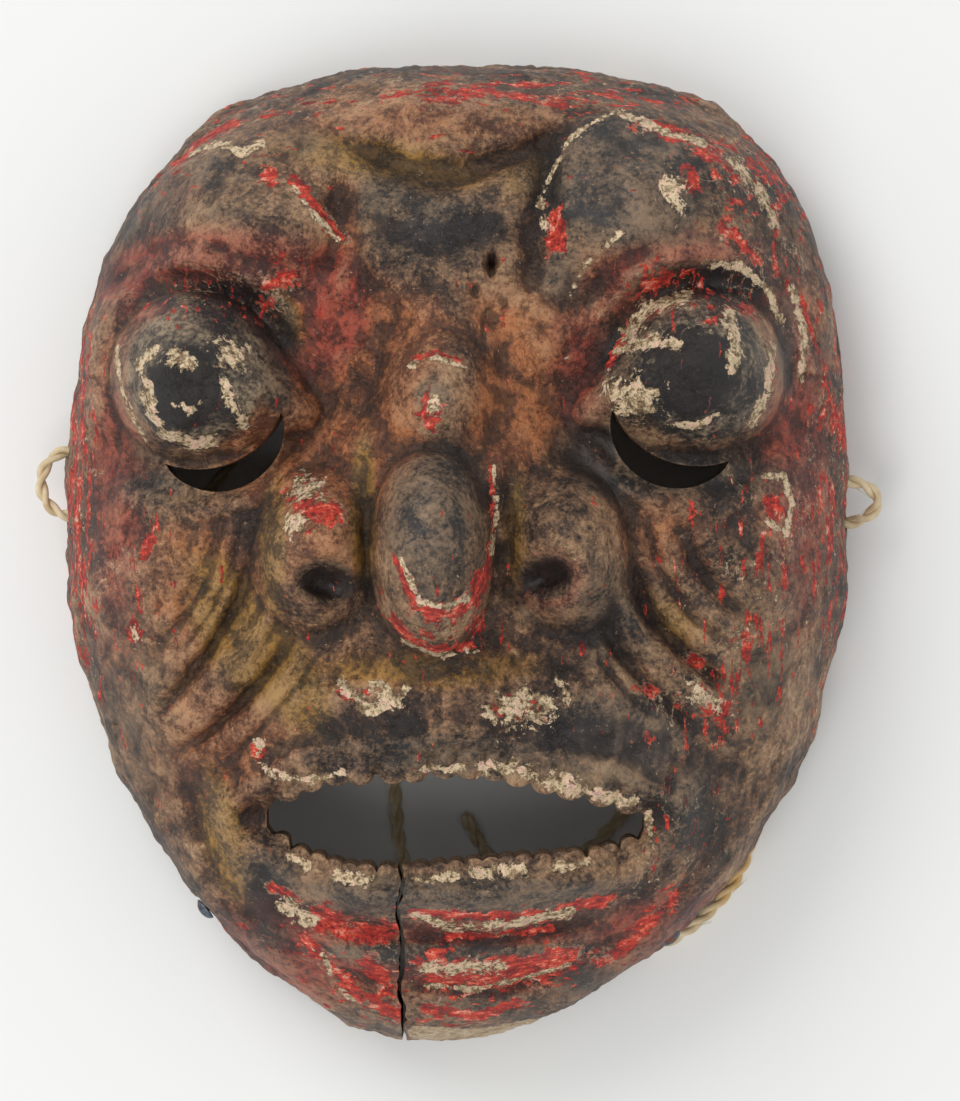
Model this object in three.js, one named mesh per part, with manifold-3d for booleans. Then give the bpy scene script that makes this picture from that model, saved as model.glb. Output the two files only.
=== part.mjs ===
// A carved wooden theatre mask with its twine head cord, lying face up on its rim.
// Millimetres. +Z is the way the face looks, +Y runs to the crown, +X to the viewer's right.
// The origin is the centre of the mask's outline, on the surface that the rim lies on.
import * as THREE from "three";
import { mergeVertices } from "three/addons/utils/BufferGeometryUtils.js";
import Module from "manifold-3d";

const wasm = await Module();
wasm.setup();

// ---- Driving dimensions -------------------------------------------------------------------

// The carved block: outline seen from the front, and the dome that carries the features.
const MASK = {
  width: 156,
  height: 195,
  dome: 61,
  crownPower: { left: 2.75, right: 3.3 },
  jawPower: 1.8,
  sectionPower: 2.8,
  chinDrift: -4,
};
// The hollow behind the face.
const HOLLOW = { rimWall: 7, depth: 47, nosePocket: 11 };
const TWINE = { diameter: 2.6, sides: 8, holeClearance: 1 };
// The rim is lifted off the table along both jaws, between these angles, over the cord there.
const JAW_ARCH = { rise: 2.5 * TWINE.diameter - 1.5, from: -84, to: -12 };
// Cells across the outer skin; the inner skin has half as many. They are finer at the middle.
const OUTER_CELLS = 50;
const MIDDLE_FINENESS = 0.3;

const EYE = { radius: 17.2, centreZ: 49, across: 48.5, up: 34.6, midline: -1.9 };
const EYE_SLIT = { inner: 18.4, opening: 6, from: -112, to: -24 };
const NOSE = { midline: -4, tipY: -1, lobeWidth: 13, lobeLength: 21, tipZ: 92 };
const WING = { across: 22.4, y: -1, width: 13, length: 17, top: 78 };
const NOSTRIL = { across: 21, y: -7, width: 4.6, height: 3.6, depth: 7 };
const MOUTH = { left: -37, right: 36.6, cornerY: -50.6, top: -42.8, bottom: -59.8 };
const CRACK = { x: -10.8, gap: 1, sway: 0.9 };

// A bight of twine stands outside the wall between two holes, given by their y and z.
const LEFT_TIE = { side: -1, knotHole: [20.6, 14], leadHole: [7.6, 14], reach: 6 };
const RIGHT_TIE = { side: 1, knotHole: [14.5, 17], leadHole: [6.2, 11], reach: 6.4 };
const TIE = { inside: 3.2, turnSteps: 10 };
const KNOT = { length: 7.6, thickness: 6.4 };

const NAIL = { headRadius: 2.3, headHeight: 1.3, shankRadius: 0.9, shankLength: 5 };
const NAILS = {
  left_jaw_nail: { angle: -125, z: 16 },
  right_jaw_nail: { angle: -60.5, z: 23 },
};

// The gap that every piece keeps to its neighbour.
const CLEARANCE = 0.3;
// Cutters run past the solid by this much.
const OVERCUT = 20;
const CUT_TOP = NOSE.tipZ + OVERCUT;

const TWINE_RADIUS = TWINE.diameter / 2;
// A cord on the table has its centreline here, a little clear of the surface.
const TABLE_Z = TWINE_RADIUS + 0.15;

// ---- Routes of the free twine, chosen by hand ---------------------------------------------

const HEAD_CORD_ROUTE = [
  [-59.5, 7.7, 13.2],
  [-53, 9.6, 9.2],
  [-47.5, 15.5, 4.4],
  [-42.5, 25, 1.9],
  [-34, 40, TABLE_Z],
  [-19, 53, TABLE_Z],
  [0, 57, TABLE_Z],
  [17, 50, TABLE_Z],
  [25, 35, TABLE_Z],
  [20, 19, TABLE_Z],
  [5, 8, TABLE_Z],
  [-7, -6, TABLE_Z],
  [-12, -24, TABLE_Z],
  [-12.8, -42, TABLE_Z],
  [-11.6, -58, TABLE_Z],
  [-8, -69, TABLE_Z],
  [1, -76, TABLE_Z],
  [14, -78.5, TABLE_Z],
  [28, -79.5, TABLE_Z],
  [41, -78.6, TABLE_Z],
  [51, -71.8, TABLE_Z],
  [57.6, -62.5, TABLE_Z],
  [59.6, -52, TABLE_Z],
  [57.6, -40, TABLE_Z],
  [55.4, -27, TABLE_Z],
  [55.6, -14, 2.4],
  [57.4, -3.5, 5.6],
  [59.8, 3, 9],
];
const TAIL_ROUTE = [
  [54, 12.6, 15.4],
  [51.6, 6.4, 11.6],
  [49.8, -3, 6.4],
  [47.8, -13, 2.8],
  [45.4, -24, TABLE_Z],
  [41.6, -36, TABLE_Z],
  [35, -50, TABLE_Z],
  [25.6, -60, TABLE_Z],
  [16.6, -65.6, TABLE_Z],
  [10.2, -66, TABLE_Z],
  [6.6, -61.6, TABLE_Z],
  [3.6, -56.8, 1.9],
  [1.3, -52.4, 2.9],
];

// ---- Small helpers ------------------------------------------------------------------------

const radians = THREE.MathUtils.degToRad;
const smoothstep = THREE.MathUtils.smoothstep;

// The larger of two heights, with the crease between them rounded over k.
function smoothMax(a, b, k) {
  const h = THREE.MathUtils.clamp(0.5 + (a - b) / (2 * k), 0, 1);
  return b + (a - b) * h + k * h * (1 - h);
}

// Distance from the middle of a turned ellipse, 1 on its edge.
function ellipseDistance(x, y, e) {
  const t = radians(e.turn ?? 0);
  const dx = x - e.x;
  const dy = y - e.y;
  const u = (dx * Math.cos(t) + dy * Math.sin(t)) / e.rx;
  const v = (dy * Math.cos(t) - dx * Math.sin(t)) / e.ry;
  return Math.hypot(u, v);
}

// Height of a rounded mound that stands on z = e.foot and rises to e.top.
function moundHeight(x, y, e) {
  const d = ellipseDistance(x, y, e);
  const rise = e.top - e.foot;
  return d < 1 ? e.foot + rise * (1 - d ** 2.2) ** 0.9 : e.foot - rise * (d - 1);
}

// A soft swelling, or a hollow where its height is negative.
function swelling(x, y, e) {
  const d = ellipseDistance(x, y, e);
  return e.height * Math.exp(-d * d);
}

// ---- The carved surface -------------------------------------------------------------------

// Distance from the origin to the outline, inset by a wall, in the direction of an angle.
function outlineRadius(angle, inset = 0) {
  const crownPower = Math.cos(angle) < 0 ? MASK.crownPower.left : MASK.crownPower.right;
  const power = Math.sin(angle) >= 0 ? crownPower : MASK.jawPower;
  const across = Math.abs(Math.cos(angle) / (MASK.width / 2)) ** power;
  const along = Math.abs(Math.sin(angle) / (MASK.height / 2)) ** power;
  return (across + along) ** (-1 / power) - inset;
}

// Height of the rim above the table.
function rimHeight(angle) {
  const degrees = THREE.MathUtils.radToDeg(angle);
  const mirrored = degrees < -90 ? -180 - degrees : degrees;
  const share = (mirrored - JAW_ARCH.from) / (JAW_ARCH.to - JAW_ARCH.from);
  return share > 0 && share < 1 ? JAW_ARCH.rise * Math.sin(Math.PI * share) : 0;
}

// The tip of the chin hangs a little to one side.
function chinDrift(y) {
  return MASK.chinDrift * Math.max(0, -y / (MASK.height / 2)) ** 6;
}

const mirroredSides = [-1, 1];
const eyes = mirroredSides.map((side) => ({
  side,
  x: EYE.midline + side * EYE.across,
  y: EYE.up,
}));

// Swellings and hollows that are added to the dome.
const FOREHEAD_RELIEF = [
  { x: -1, y: 83, rx: 34, ry: 11, height: 4 },
  { x: -2, y: 73, rx: 26, ry: 4, height: -3 },
  { x: -2, y: 64, rx: 20, ry: 7, height: 2.5 },
];
const BROW_RELIEF = [
  { x: -46, y: 63, rx: 25, ry: 11, turn: 12, height: 6 },
  { x: 43, y: 66, rx: 27, ry: 12, turn: -14, height: 7 },
];
const CHEEK_RELIEF = [
  { x: -62, y: 4, rx: 16, ry: 26, height: 3 },
  { x: 60, y: 4, rx: 16, ry: 26, height: 3 },
  { x: -45, y: -24, rx: 22, ry: 3, turn: 38, height: -3 },
  { x: 41, y: -22, rx: 22, ry: 3, turn: -52, height: -3 },
];
const LIP_RELIEF = [
  { x: 0, y: -31, rx: 40, ry: 10, height: 5 },
  { x: 0, y: -64, rx: 40, ry: 3.5, height: 3 },
];
const CHIN_RELIEF = [
  { x: 0, y: -75, rx: 38, ry: 2.6, height: -3 },
  { x: 0, y: -81, rx: 30, ry: 5, height: 2 },
];
const EYE_SOCKETS = eyes.map(({ x, y }) => ({ x, y, rx: 24, ry: 22, height: -5 }));
const RELIEF = [
  ...FOREHEAD_RELIEF,
  ...BROW_RELIEF,
  ...CHEEK_RELIEF,
  ...LIP_RELIEF,
  ...CHIN_RELIEF,
  ...EYE_SOCKETS,
];
const NOSTRILS = mirroredSides.map((side) => ({
  x: NOSE.midline + side * NOSTRIL.across,
  y: NOSTRIL.y,
  rx: NOSTRIL.width,
  ry: NOSTRIL.height,
  height: -NOSTRIL.depth,
}));
// Rounded forms that stand out of the dome.
const FORMS = [
  { x: NOSE.midline, y: 6, rx: 41, ry: 38, foot: 46, top: 70 },
  { x: NOSE.midline, y: 22, rx: 15, ry: 36, foot: 52, top: 76 },
  { x: 0, y: -52, rx: 52, ry: 34, foot: 42, top: 66 },
  ...mirroredSides.map((side) => ({
    x: NOSE.midline + side * WING.across,
    y: WING.y,
    rx: WING.width,
    ry: WING.length,
    foot: 54,
    top: WING.top,
  })),
  {
    x: NOSE.midline - 1,
    y: NOSE.tipY,
    rx: NOSE.lobeWidth,
    ry: NOSE.lobeLength,
    foot: 62,
    top: NOSE.tipZ,
  },
];

// Height of one eyeball, which tapers towards the nose in smaller balls.
function eyeballHeight(x, y, eye) {
  const taper = [
    { along: 0, size: 1 },
    { along: 0.55, size: 0.66 },
    { along: 0.95, size: 0.36 },
  ];
  let z = -Infinity;
  for (const ball of taper) {
    const radius = EYE.radius * ball.size;
    const cx = eye.x - eye.side * EYE.radius * ball.along;
    const cy = eye.y - 0.5 * EYE.radius * ball.along;
    const cap = { x: cx, y: cy, rx: radius, ry: radius, foot: EYE.centreZ, top: EYE.centreZ + radius };
    const height = moundHeight(x, y, cap);
    z = z === -Infinity ? height : smoothMax(z, height, 3);
  }
  return z;
}

// Height of the face over a point, before it is blended into the side walls.
function faceHeight(x, y, domeZ) {
  let z = domeZ;
  for (const swell of RELIEF) z += swelling(x, y, swell);
  for (const form of FORMS) z = smoothMax(z, moundHeight(x, y, form), 4);
  for (const eye of eyes) z = smoothMax(z, eyeballHeight(x, y, eye), 4);
  for (const nostril of NOSTRILS) z += swelling(x, y, nostril);
  return z;
}

// A point of the outer or inner skin. (u, v) runs over a square that is wrapped onto the disc
// of the outline, so the square's edge is the rim.
function skinPoint(u, v, skin) {
  const dx = u * Math.sqrt(1 - (v * v) / 2);
  const dy = v * Math.sqrt(1 - (u * u) / 2);
  const angle = Math.atan2(dy, dx);
  const share = Math.min(1, Math.hypot(dx, dy));
  const swing = (Math.PI / 2) * share * (1 - MIDDLE_FINENESS * (1 - share * share));
  const power = MASK.sectionPower;
  const reach = (Math.sin(swing) ** power + Math.abs(Math.cos(swing)) ** power) ** (-1 / power);
  const radius = reach * Math.sin(swing) * outlineRadius(angle, skin.inset);
  const rise = Math.max(0, reach * Math.cos(swing));
  const y = radius * Math.sin(angle);
  const x = radius * Math.cos(angle) + chinDrift(y);
  const rim = rimHeight(angle);
  const dome = rim + rise * (skin.dome - rim);
  const blend = smoothstep(rise, 0.2, 0.62);
  return new THREE.Vector3(x, y, dome + blend * (skin.face(x, y, dome) - dome));
}

const OUTER_SKIN = { inset: 0, dome: MASK.dome, face: faceHeight };
const INNER_SKIN = {
  inset: HOLLOW.rimWall,
  dome: HOLLOW.depth,
  face: (x, y, dome) =>
    dome + swelling(x, y, { x: NOSE.midline, y: 2, rx: 17, ry: 22, height: HOLLOW.nosePocket }),
};

// The vertices of one skin and the way round its edge.
function skinLattice(skin, cells) {
  const points = [];
  for (let j = 0; j <= cells; j++) {
    for (let i = 0; i <= cells; i++) {
      points.push(skinPoint((2 * i) / cells - 1, (2 * j) / cells - 1, skin));
    }
  }
  const at = (i, j) => j * (cells + 1) + i;
  const edge = [];
  for (let k = 0; k < cells; k++) edge.push(at(k, 0));
  for (let k = 0; k < cells; k++) edge.push(at(cells, k));
  for (let k = cells; k > 0; k--) edge.push(at(k, cells));
  for (let k = cells; k > 0; k--) edge.push(at(0, k));
  return { points, at, edge, cells };
}

// Triangles over a lattice, facing up, or down where it is turned over.
function latticeTriangles(lattice, offset, turnedOver) {
  const triangles = [];
  for (let j = 0; j < lattice.cells; j++) {
    for (let i = 0; i < lattice.cells; i++) {
      const corners = [
        lattice.at(i, j),
        lattice.at(i + 1, j),
        lattice.at(i + 1, j + 1),
        lattice.at(i, j + 1),
      ].map((n) => n + offset);
      const [a, b, c, d] = turnedOver ? corners.reverse() : corners;
      triangles.push(a, b, c, a, c, d);
    }
  }
  return triangles;
}

// The closed shell: both skins and the flat rim between their edges.
function carvedBlock() {
  const outer = skinLattice(OUTER_SKIN, OUTER_CELLS);
  const inner = skinLattice(INNER_SKIN, OUTER_CELLS / 2);
  const offset = outer.points.length;
  const index = [
    ...latticeTriangles(outer, 0, false),
    ...latticeTriangles(inner, offset, true),
  ];
  const turns = inner.edge.length;
  for (let k = 0; k < turns; k++) {
    const a = outer.edge[2 * k];
    const b = outer.edge[2 * k + 1];
    const c = outer.edge[(2 * k + 2) % outer.edge.length];
    const d = offset + inner.edge[k];
    const e = offset + inner.edge[(k + 1) % turns];
    index.push(a, d, b, b, d, e, b, e, c);
  }
  const geometry = new THREE.BufferGeometry().setFromPoints([...outer.points, ...inner.points]);
  geometry.setIndex(index);
  return solidOf(geometry);
}

// ---- Solids -------------------------------------------------------------------------------

// A closed geometry as a manifold solid.
function solidOf(geometry) {
  const bare = new THREE.BufferGeometry();
  bare.setAttribute("position", geometry.getAttribute("position").clone());
  if (geometry.index) bare.setIndex(geometry.index.clone());
  const merged = mergeVertices(bare, 1e-4);
  return new wasm.Manifold(
    new wasm.Mesh({
      numProp: 3,
      vertProperties: new Float32Array(merged.getAttribute("position").array),
      triVerts: new Uint32Array(merged.index.array),
    }),
  );
}

// A manifold solid as a geometry with flat faces.
function geometryOf(solid) {
  const mesh = solid.getMesh();
  const geometry = new THREE.BufferGeometry();
  geometry.setAttribute("position", new THREE.BufferAttribute(mesh.vertProperties, mesh.numProp));
  geometry.setIndex(new THREE.BufferAttribute(mesh.triVerts, 1));
  const faceted = geometry.toNonIndexed();
  faceted.computeVertexNormals();
  return faceted;
}

// An upright cutter with this outline, from one height to another.
function uprightCutter(outline, fromZ, toZ) {
  const shape = new THREE.Shape(outline);
  const geometry = new THREE.ExtrudeGeometry(shape, { depth: toZ - fromZ, bevelEnabled: false });
  geometry.translate(0, 0, fromZ);
  return solidOf(geometry);
}

// A turned solid whose profile runs along +Y from the origin, set to point along a direction.
function turnedAlong(profile, segments, origin, direction) {
  const geometry = new THREE.LatheGeometry(profile, segments);
  const turn = new THREE.Quaternion().setFromUnitVectors(new THREE.Vector3(0, 1, 0), direction);
  geometry.applyQuaternion(turn);
  geometry.translate(origin.x, origin.y, origin.z);
  return solidOf(geometry);
}

// A round tube along a curve, closed at both ends.
function twineTube(curve, steps) {
  const section = new THREE.Shape();
  for (let k = 0; k < TWINE.sides; k++) {
    const angle = (2 * Math.PI * k) / TWINE.sides;
    const x = TWINE_RADIUS * Math.cos(angle);
    const y = TWINE_RADIUS * Math.sin(angle);
    if (k === 0) section.moveTo(x, y);
    else section.lineTo(x, y);
  }
  section.closePath();
  return new THREE.ExtrudeGeometry(section, { steps, bevelEnabled: false, extrudePath: curve });
}

// ---- Cutters for the shell ----------------------------------------------------------------

// The open mouth: a long lens with its upper edge flatter than its lower one.
function mouthOutline() {
  const width = MOUTH.right - MOUTH.left;
  const point = (share, edge) => {
    const swell = (1 - Math.abs(2 * share - 1) ** 2.6) ** 0.8;
    const y = MOUTH.cornerY + (edge - MOUTH.cornerY) * swell;
    return new THREE.Vector2(MOUTH.left + width * share, y);
  };
  const steps = 14;
  const outline = [];
  for (let k = 0; k < steps; k++) outline.push(point(k / steps, MOUTH.bottom));
  for (let k = steps; k > 0; k--) outline.push(point(k / steps, MOUTH.top));
  return outline;
}

// The crescent of daylight under an eyeball, that the wearer looks through.
function eyeSlitOutline(eye) {
  const steps = 12;
  const along = (share) => radians(EYE_SLIT.from + (EYE_SLIT.to - EYE_SLIT.from) * share);
  const at = (angle, radius) => {
    const x = eye.x - eye.side * radius * Math.cos(angle);
    return new THREE.Vector2(x, eye.y + radius * Math.sin(angle));
  };
  const outline = [];
  for (let k = 0; k <= steps; k++) outline.push(at(along(k / steps), EYE_SLIT.inner));
  for (let k = steps - 1; k > 0; k--) {
    const width = EYE_SLIT.opening * Math.sin((Math.PI * k) / steps) ** 0.6;
    outline.push(at(along(k / steps), EYE_SLIT.inner + width));
  }
  return outline;
}

// The drying crack that splits the chin from the mouth down to the edge.
function crackOutline() {
  const top = MOUTH.bottom + OVERCUT / 4;
  const bottom = -MASK.height / 2 - OVERCUT;
  const steps = 8;
  const middle = (k) => CRACK.x + CRACK.sway * Math.sin(k * 1.7);
  const y = (k) => top + ((bottom - top) * k) / steps;
  const outline = [];
  for (let k = 0; k <= steps; k++) outline.push(new THREE.Vector2(middle(k) - CRACK.gap / 2, y(k)));
  for (let k = steps; k >= 0; k--) outline.push(new THREE.Vector2(middle(k) + CRACK.gap / 2, y(k)));
  return outline;
}

// ---- The side walls, where the twine and the nails go -------------------------------------

// Distance of a side wall from the middle plane at a height and a depth.
function wallX(y, z, inset, dome) {
  const share = (1 - (z / dome) ** MASK.sectionPower) ** (1 / MASK.sectionPower);
  const halfWidth = share * (MASK.width / 2 - inset);
  const halfHeight = share * (MASK.height / 2 - inset);
  const power = MASK.crownPower.left;
  return halfWidth * (1 - Math.abs(y / halfHeight) ** power) ** (1 / power);
}
const outerWallX = (y, z) => wallX(y, z, 0, MASK.dome);
const innerWallX = (y, z) => wallX(y, z, HOLLOW.rimWall, HOLLOW.depth);

// A hole for the twine, straight across one side wall.
function twineHole(tie, [y, z]) {
  const from = innerWallX(y, z) - OVERCUT / 2;
  const length = outerWallX(y, z) - from + OVERCUT / 2;
  const radius = TWINE_RADIUS + TWINE.holeClearance / 2;
  const geometry = new THREE.CylinderGeometry(radius, radius, length, 16);
  geometry.rotateZ(Math.PI / 2);
  geometry.translate(tie.side * (from + length / 2), y, z);
  return solidOf(geometry);
}

// Where the twine of a tie ends inside the wall.
function tieEnd(tie, [y, z]) {
  return new THREE.Vector3(tie.side * (innerWallX(y, z) - TIE.inside), y, z);
}

// The bight: in through one hole, round outside the wall and back through the other.
function bightCurve(tie) {
  const [yA, zA] = tie.knotHole;
  const [yB, zB] = tie.leadHole;
  const wall = Math.max(outerWallX(yA, zA), outerWallX(yB, zB));
  const middle = new THREE.Vector2((yA + yB) / 2, (zA + zB) / 2);
  const half = new THREE.Vector2((yA - yB) / 2, (zA - zB) / 2);
  const points = [tieEnd(tie, tie.knotHole)];
  for (let k = 0; k <= TIE.turnSteps; k++) {
    const swing = (Math.PI * k) / TIE.turnSteps;
    const out = wall + tie.reach * Math.sin(swing) - 0.5;
    const share = Math.cos(swing);
    points.push(new THREE.Vector3(tie.side * out, middle.x + half.x * share, middle.y + half.y * share));
  }
  points.push(tieEnd(tie, tie.leadHole));
  return new THREE.CatmullRomCurve3(points, false, "centripetal");
}

// A knot in the twine, drawn up against the end of the bight.
function knotGeometry(tie) {
  const end = tieEnd(tie, tie.knotHole);
  const geometry = new THREE.SphereGeometry(1, 12, 8);
  geometry.scale(KNOT.thickness / 2, KNOT.length / 2, KNOT.thickness / 2);
  geometry.translate(end.x - tie.side * (KNOT.thickness / 2 + CLEARANCE), end.y, end.z);
  return geometry;
}

// Where a nail stands on the outer wall, and the way it points.
function nailSeat({ angle: degrees, z }) {
  const angle = radians(degrees);
  const surface = (a, height) => {
    const rim = rimHeight(a);
    const rise = (height - rim) / (MASK.dome - rim);
    const share = (1 - rise ** MASK.sectionPower) ** (1 / MASK.sectionPower);
    const radius = share * outlineRadius(a);
    const y = radius * Math.sin(a);
    return new THREE.Vector3(radius * Math.cos(a) + chinDrift(y), y, height);
  };
  const origin = surface(angle, z);
  const round = surface(angle + 0.02, z).sub(origin);
  const up = surface(angle, z + 0.5).sub(origin);
  return { origin, direction: round.cross(up).normalize() };
}

// Profile of a nail from its point to the top of its domed head, grown on every side.
function nailProfile(grown) {
  const shank = NAIL.shankRadius + grown;
  const head = NAIL.headRadius + grown;
  const points = [
    new THREE.Vector2(0, -NAIL.shankLength - grown),
    new THREE.Vector2(shank, -NAIL.shankLength - grown),
    new THREE.Vector2(shank, -grown),
    new THREE.Vector2(head, -grown),
  ];
  const steps = 4;
  for (let k = 1; k < steps; k++) {
    const swing = (Math.PI * k) / (2 * steps);
    const height = (NAIL.headHeight + grown) * Math.sin(swing);
    points.push(new THREE.Vector2(head * Math.cos(swing), height));
  }
  points.push(new THREE.Vector2(0, NAIL.headHeight + grown));
  return points;
}

function nailSolid(place, grown) {
  const { origin, direction } = nailSeat(place);
  return turnedAlong(nailProfile(grown), 14, origin, direction);
}

// ---- Pieces -------------------------------------------------------------------------------

function shellSolid() {
  const cutters = [
    uprightCutter(mouthOutline(), -OVERCUT, CUT_TOP),
    uprightCutter(crackOutline(), -OVERCUT, CUT_TOP),
    ...eyes.map((eye) => uprightCutter(eyeSlitOutline(eye), -OVERCUT, CUT_TOP)),
    ...Object.values(NAILS).map((place) => nailSolid(place, CLEARANCE)),
  ];
  for (const tie of [LEFT_TIE, RIGHT_TIE]) {
    cutters.push(twineHole(tie, tie.knotHole), twineHole(tie, tie.leadHole));
  }
  return cutters.reduce((solid, cutter) => solid.subtract(cutter), carvedBlock());
}

// The first points of a cord that carries straight on, inwards, from the end of a bight.
function leadIn(tie) {
  const end = tieEnd(tie, tie.leadHole);
  return [CLEARANCE, 1.5].map((gap) => new THREE.Vector3(end.x - tie.side * gap, end.y, end.z));
}

// The head cord, from just past one bight to just short of the other.
function headCordCurve() {
  const route = HEAD_CORD_ROUTE.map((p) => new THREE.Vector3(...p));
  const points = [...leadIn(LEFT_TIE), ...route, ...leadIn(RIGHT_TIE).reverse()];
  return new THREE.CatmullRomCurve3(points, false, "centripetal");
}

// The spare end beyond the right knot.
function tailCurve() {
  const end = tieEnd(RIGHT_TIE, RIGHT_TIE.knotHole);
  const leaves = end.x - RIGHT_TIE.side * (KNOT.thickness + 2 * CLEARANCE);
  const straight = [0, 1.2].map((d) => new THREE.Vector3(leaves - RIGHT_TIE.side * d, end.y, end.z));
  const route = TAIL_ROUTE.map((p) => new THREE.Vector3(...p));
  return new THREE.CatmullRomCurve3([...straight, ...route], false, "centripetal");
}

const lacqueredWood = new THREE.MeshStandardMaterial({ color: 0x4a3026, roughness: 0.6 });
const hempTwine = new THREE.MeshStandardMaterial({ color: 0xb9a883, roughness: 0.95 });
const oldIron = new THREE.MeshStandardMaterial({ color: 0x595b5c, roughness: 0.7, metalness: 0.6 });

const mask = new THREE.Group();

function addPiece(name, geometry, material) {
  const mesh = new THREE.Mesh(geometry, material);
  mesh.name = name;
  mask.add(mesh);
}

addPiece("mask_shell", geometryOf(shellSolid()), lacqueredWood);
addPiece("left_bight", twineTube(bightCurve(LEFT_TIE), 18), hempTwine);
addPiece("right_bight", twineTube(bightCurve(RIGHT_TIE), 18), hempTwine);
addPiece("left_knot", knotGeometry(LEFT_TIE), hempTwine);
addPiece("right_knot", knotGeometry(RIGHT_TIE), hempTwine);
addPiece("head_cord", twineTube(headCordCurve(), 78), hempTwine);
addPiece("cord_tail", twineTube(tailCurve(), 26), hempTwine);
for (const [name, place] of Object.entries(NAILS)) {
  addPiece(name, geometryOf(nailSolid(place, 0)), oldIron);
}

export default mask;
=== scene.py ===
"""A carved and lacquered wooden theatre mask, lying face up on pale paper, with its twine head cord.

The maker's measures are millimetres; meshes are made in metres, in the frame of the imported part:
+Z is the way the face looks, +Y runs to the crown and +X to the viewer's right.
"""

import logging
import math
from dataclasses import dataclass, field
from enum import Enum
from typing import Sequence

import bpy
import numpy as np
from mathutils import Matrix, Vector


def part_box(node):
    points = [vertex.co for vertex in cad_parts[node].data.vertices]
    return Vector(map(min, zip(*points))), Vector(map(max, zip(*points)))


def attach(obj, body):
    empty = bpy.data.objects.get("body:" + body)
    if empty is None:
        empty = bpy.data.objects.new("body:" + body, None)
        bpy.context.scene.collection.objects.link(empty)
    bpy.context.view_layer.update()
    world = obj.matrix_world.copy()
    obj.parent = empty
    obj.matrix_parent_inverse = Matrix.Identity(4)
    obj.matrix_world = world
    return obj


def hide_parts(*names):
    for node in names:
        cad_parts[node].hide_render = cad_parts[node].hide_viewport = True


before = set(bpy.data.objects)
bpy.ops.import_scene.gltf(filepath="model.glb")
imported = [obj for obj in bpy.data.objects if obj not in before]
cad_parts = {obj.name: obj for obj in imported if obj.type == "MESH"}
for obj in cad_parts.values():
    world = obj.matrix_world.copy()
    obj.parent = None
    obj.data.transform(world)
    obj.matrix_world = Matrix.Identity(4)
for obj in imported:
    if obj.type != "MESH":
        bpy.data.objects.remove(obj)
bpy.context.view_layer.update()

MM = 0.001
Points = Sequence[tuple[float, ...]]
Colour = tuple[float, float, float, float]

CARVED_EDGE = math.radians(50)
SMALL_EDGE = math.radians(40)

log = logging.getLogger("mask")


def srgb(red: int, green: int, blue: int) -> Colour:
    """A paint colour mixed by its 0 to 255 display values, as linear light."""

    def linear(level: int) -> float:
        """One channel as linear light."""
        share = level / 255
        return share / 12.92 if share <= 0.04045 else ((share + 0.055) / 1.055) ** 2.4

    return linear(red), linear(green), linear(blue), 1.0


# ---- Carving tools ---------------------------------------------------------------------------


def smooth_max(a: np.ndarray, b: np.ndarray, k: float) -> np.ndarray:
    """The higher of two surfaces, with the crease between them rounded.

    Args:
        a: Heights of one surface, in mm.
        b: Heights of the other.
        k: How far from the crease the rounding starts, in mm.

    Returns:
        The joined heights.
    """
    h = np.clip(0.5 + (a - b) / (2 * k), 0, 1)
    return b + (a - b) * h + k * h * (1 - h)


def smoothstep(x: np.ndarray, low: float, high: float) -> np.ndarray:
    """0 below low, 1 above high and an S-curve between them."""
    t = np.clip((x - low) / (high - low), 0, 1)
    return t * t * (3 - 2 * t)


def path_distance(x: np.ndarray, y: np.ndarray, path: Points) -> tuple[np.ndarray, np.ndarray]:
    """Distance of each point from a stroke, and how far along the stroke its nearest point is.

    Args:
        x: Places across, in mm.
        y: Places up, in mm.
        path: The stroke's points, in mm.

    Returns:
        Distances in mm, and shares of the stroke's length from 0 to 1.
    """
    steps = [math.dist(a, b) for a, b in zip(path, path[1:])]
    total = sum(steps)
    best = np.full(x.shape, np.inf)
    share = np.zeros(x.shape)
    done = 0.0
    for (ax, ay), (bx, by), step in zip(path, path[1:], steps):
        t = ((x - ax) * (bx - ax) + (y - ay) * (by - ay)) / step**2
        t = np.clip(t, 0, 1)
        d = np.hypot(x - ax - t * (bx - ax), y - ay - t * (by - ay))
        nearer = d < best
        best = np.where(nearer, d, best)
        share = np.where(nearer, (done + t * step) / total, share)
        done += step
    return best, share


@dataclass(frozen=True)
class Oval:
    """A turned ellipse on the face, in mm and degrees."""

    x: float
    y: float
    rx: float
    ry: float
    turn: float = 0

    def distance(self, x: np.ndarray, y: np.ndarray) -> np.ndarray:
        """Distance from the middle, 1 on the edge."""
        t = math.radians(self.turn)
        u = ((x - self.x) * math.cos(t) + (y - self.y) * math.sin(t)) / self.rx
        v = ((y - self.y) * math.cos(t) - (x - self.x) * math.sin(t)) / self.ry
        return np.hypot(u, v)


@dataclass(frozen=True)
class Swell:
    """A soft swelling, or a hollow where its height is negative."""

    oval: Oval
    height: float

    def added(self, x: np.ndarray, y: np.ndarray) -> np.ndarray:
        """Height to add at each place, in mm."""
        return self.height * np.exp(-self.oval.distance(x, y) ** 2)


@dataclass(frozen=True)
class Stroke:
    """A ridge along a line, or a groove where its height is negative, thinning at its ends."""

    path: Points
    width: float
    height: float
    fade: float = 0.25

    def added(self, x: np.ndarray, y: np.ndarray) -> np.ndarray:
        """Height to add at each place, in mm."""
        d, share = path_distance(x, y, self.path)
        ends = smoothstep(np.minimum(share, 1 - share), 0, self.fade) if self.fade else 1.0
        return self.height * np.exp(-((d / self.width) ** 2)) * ends


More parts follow.
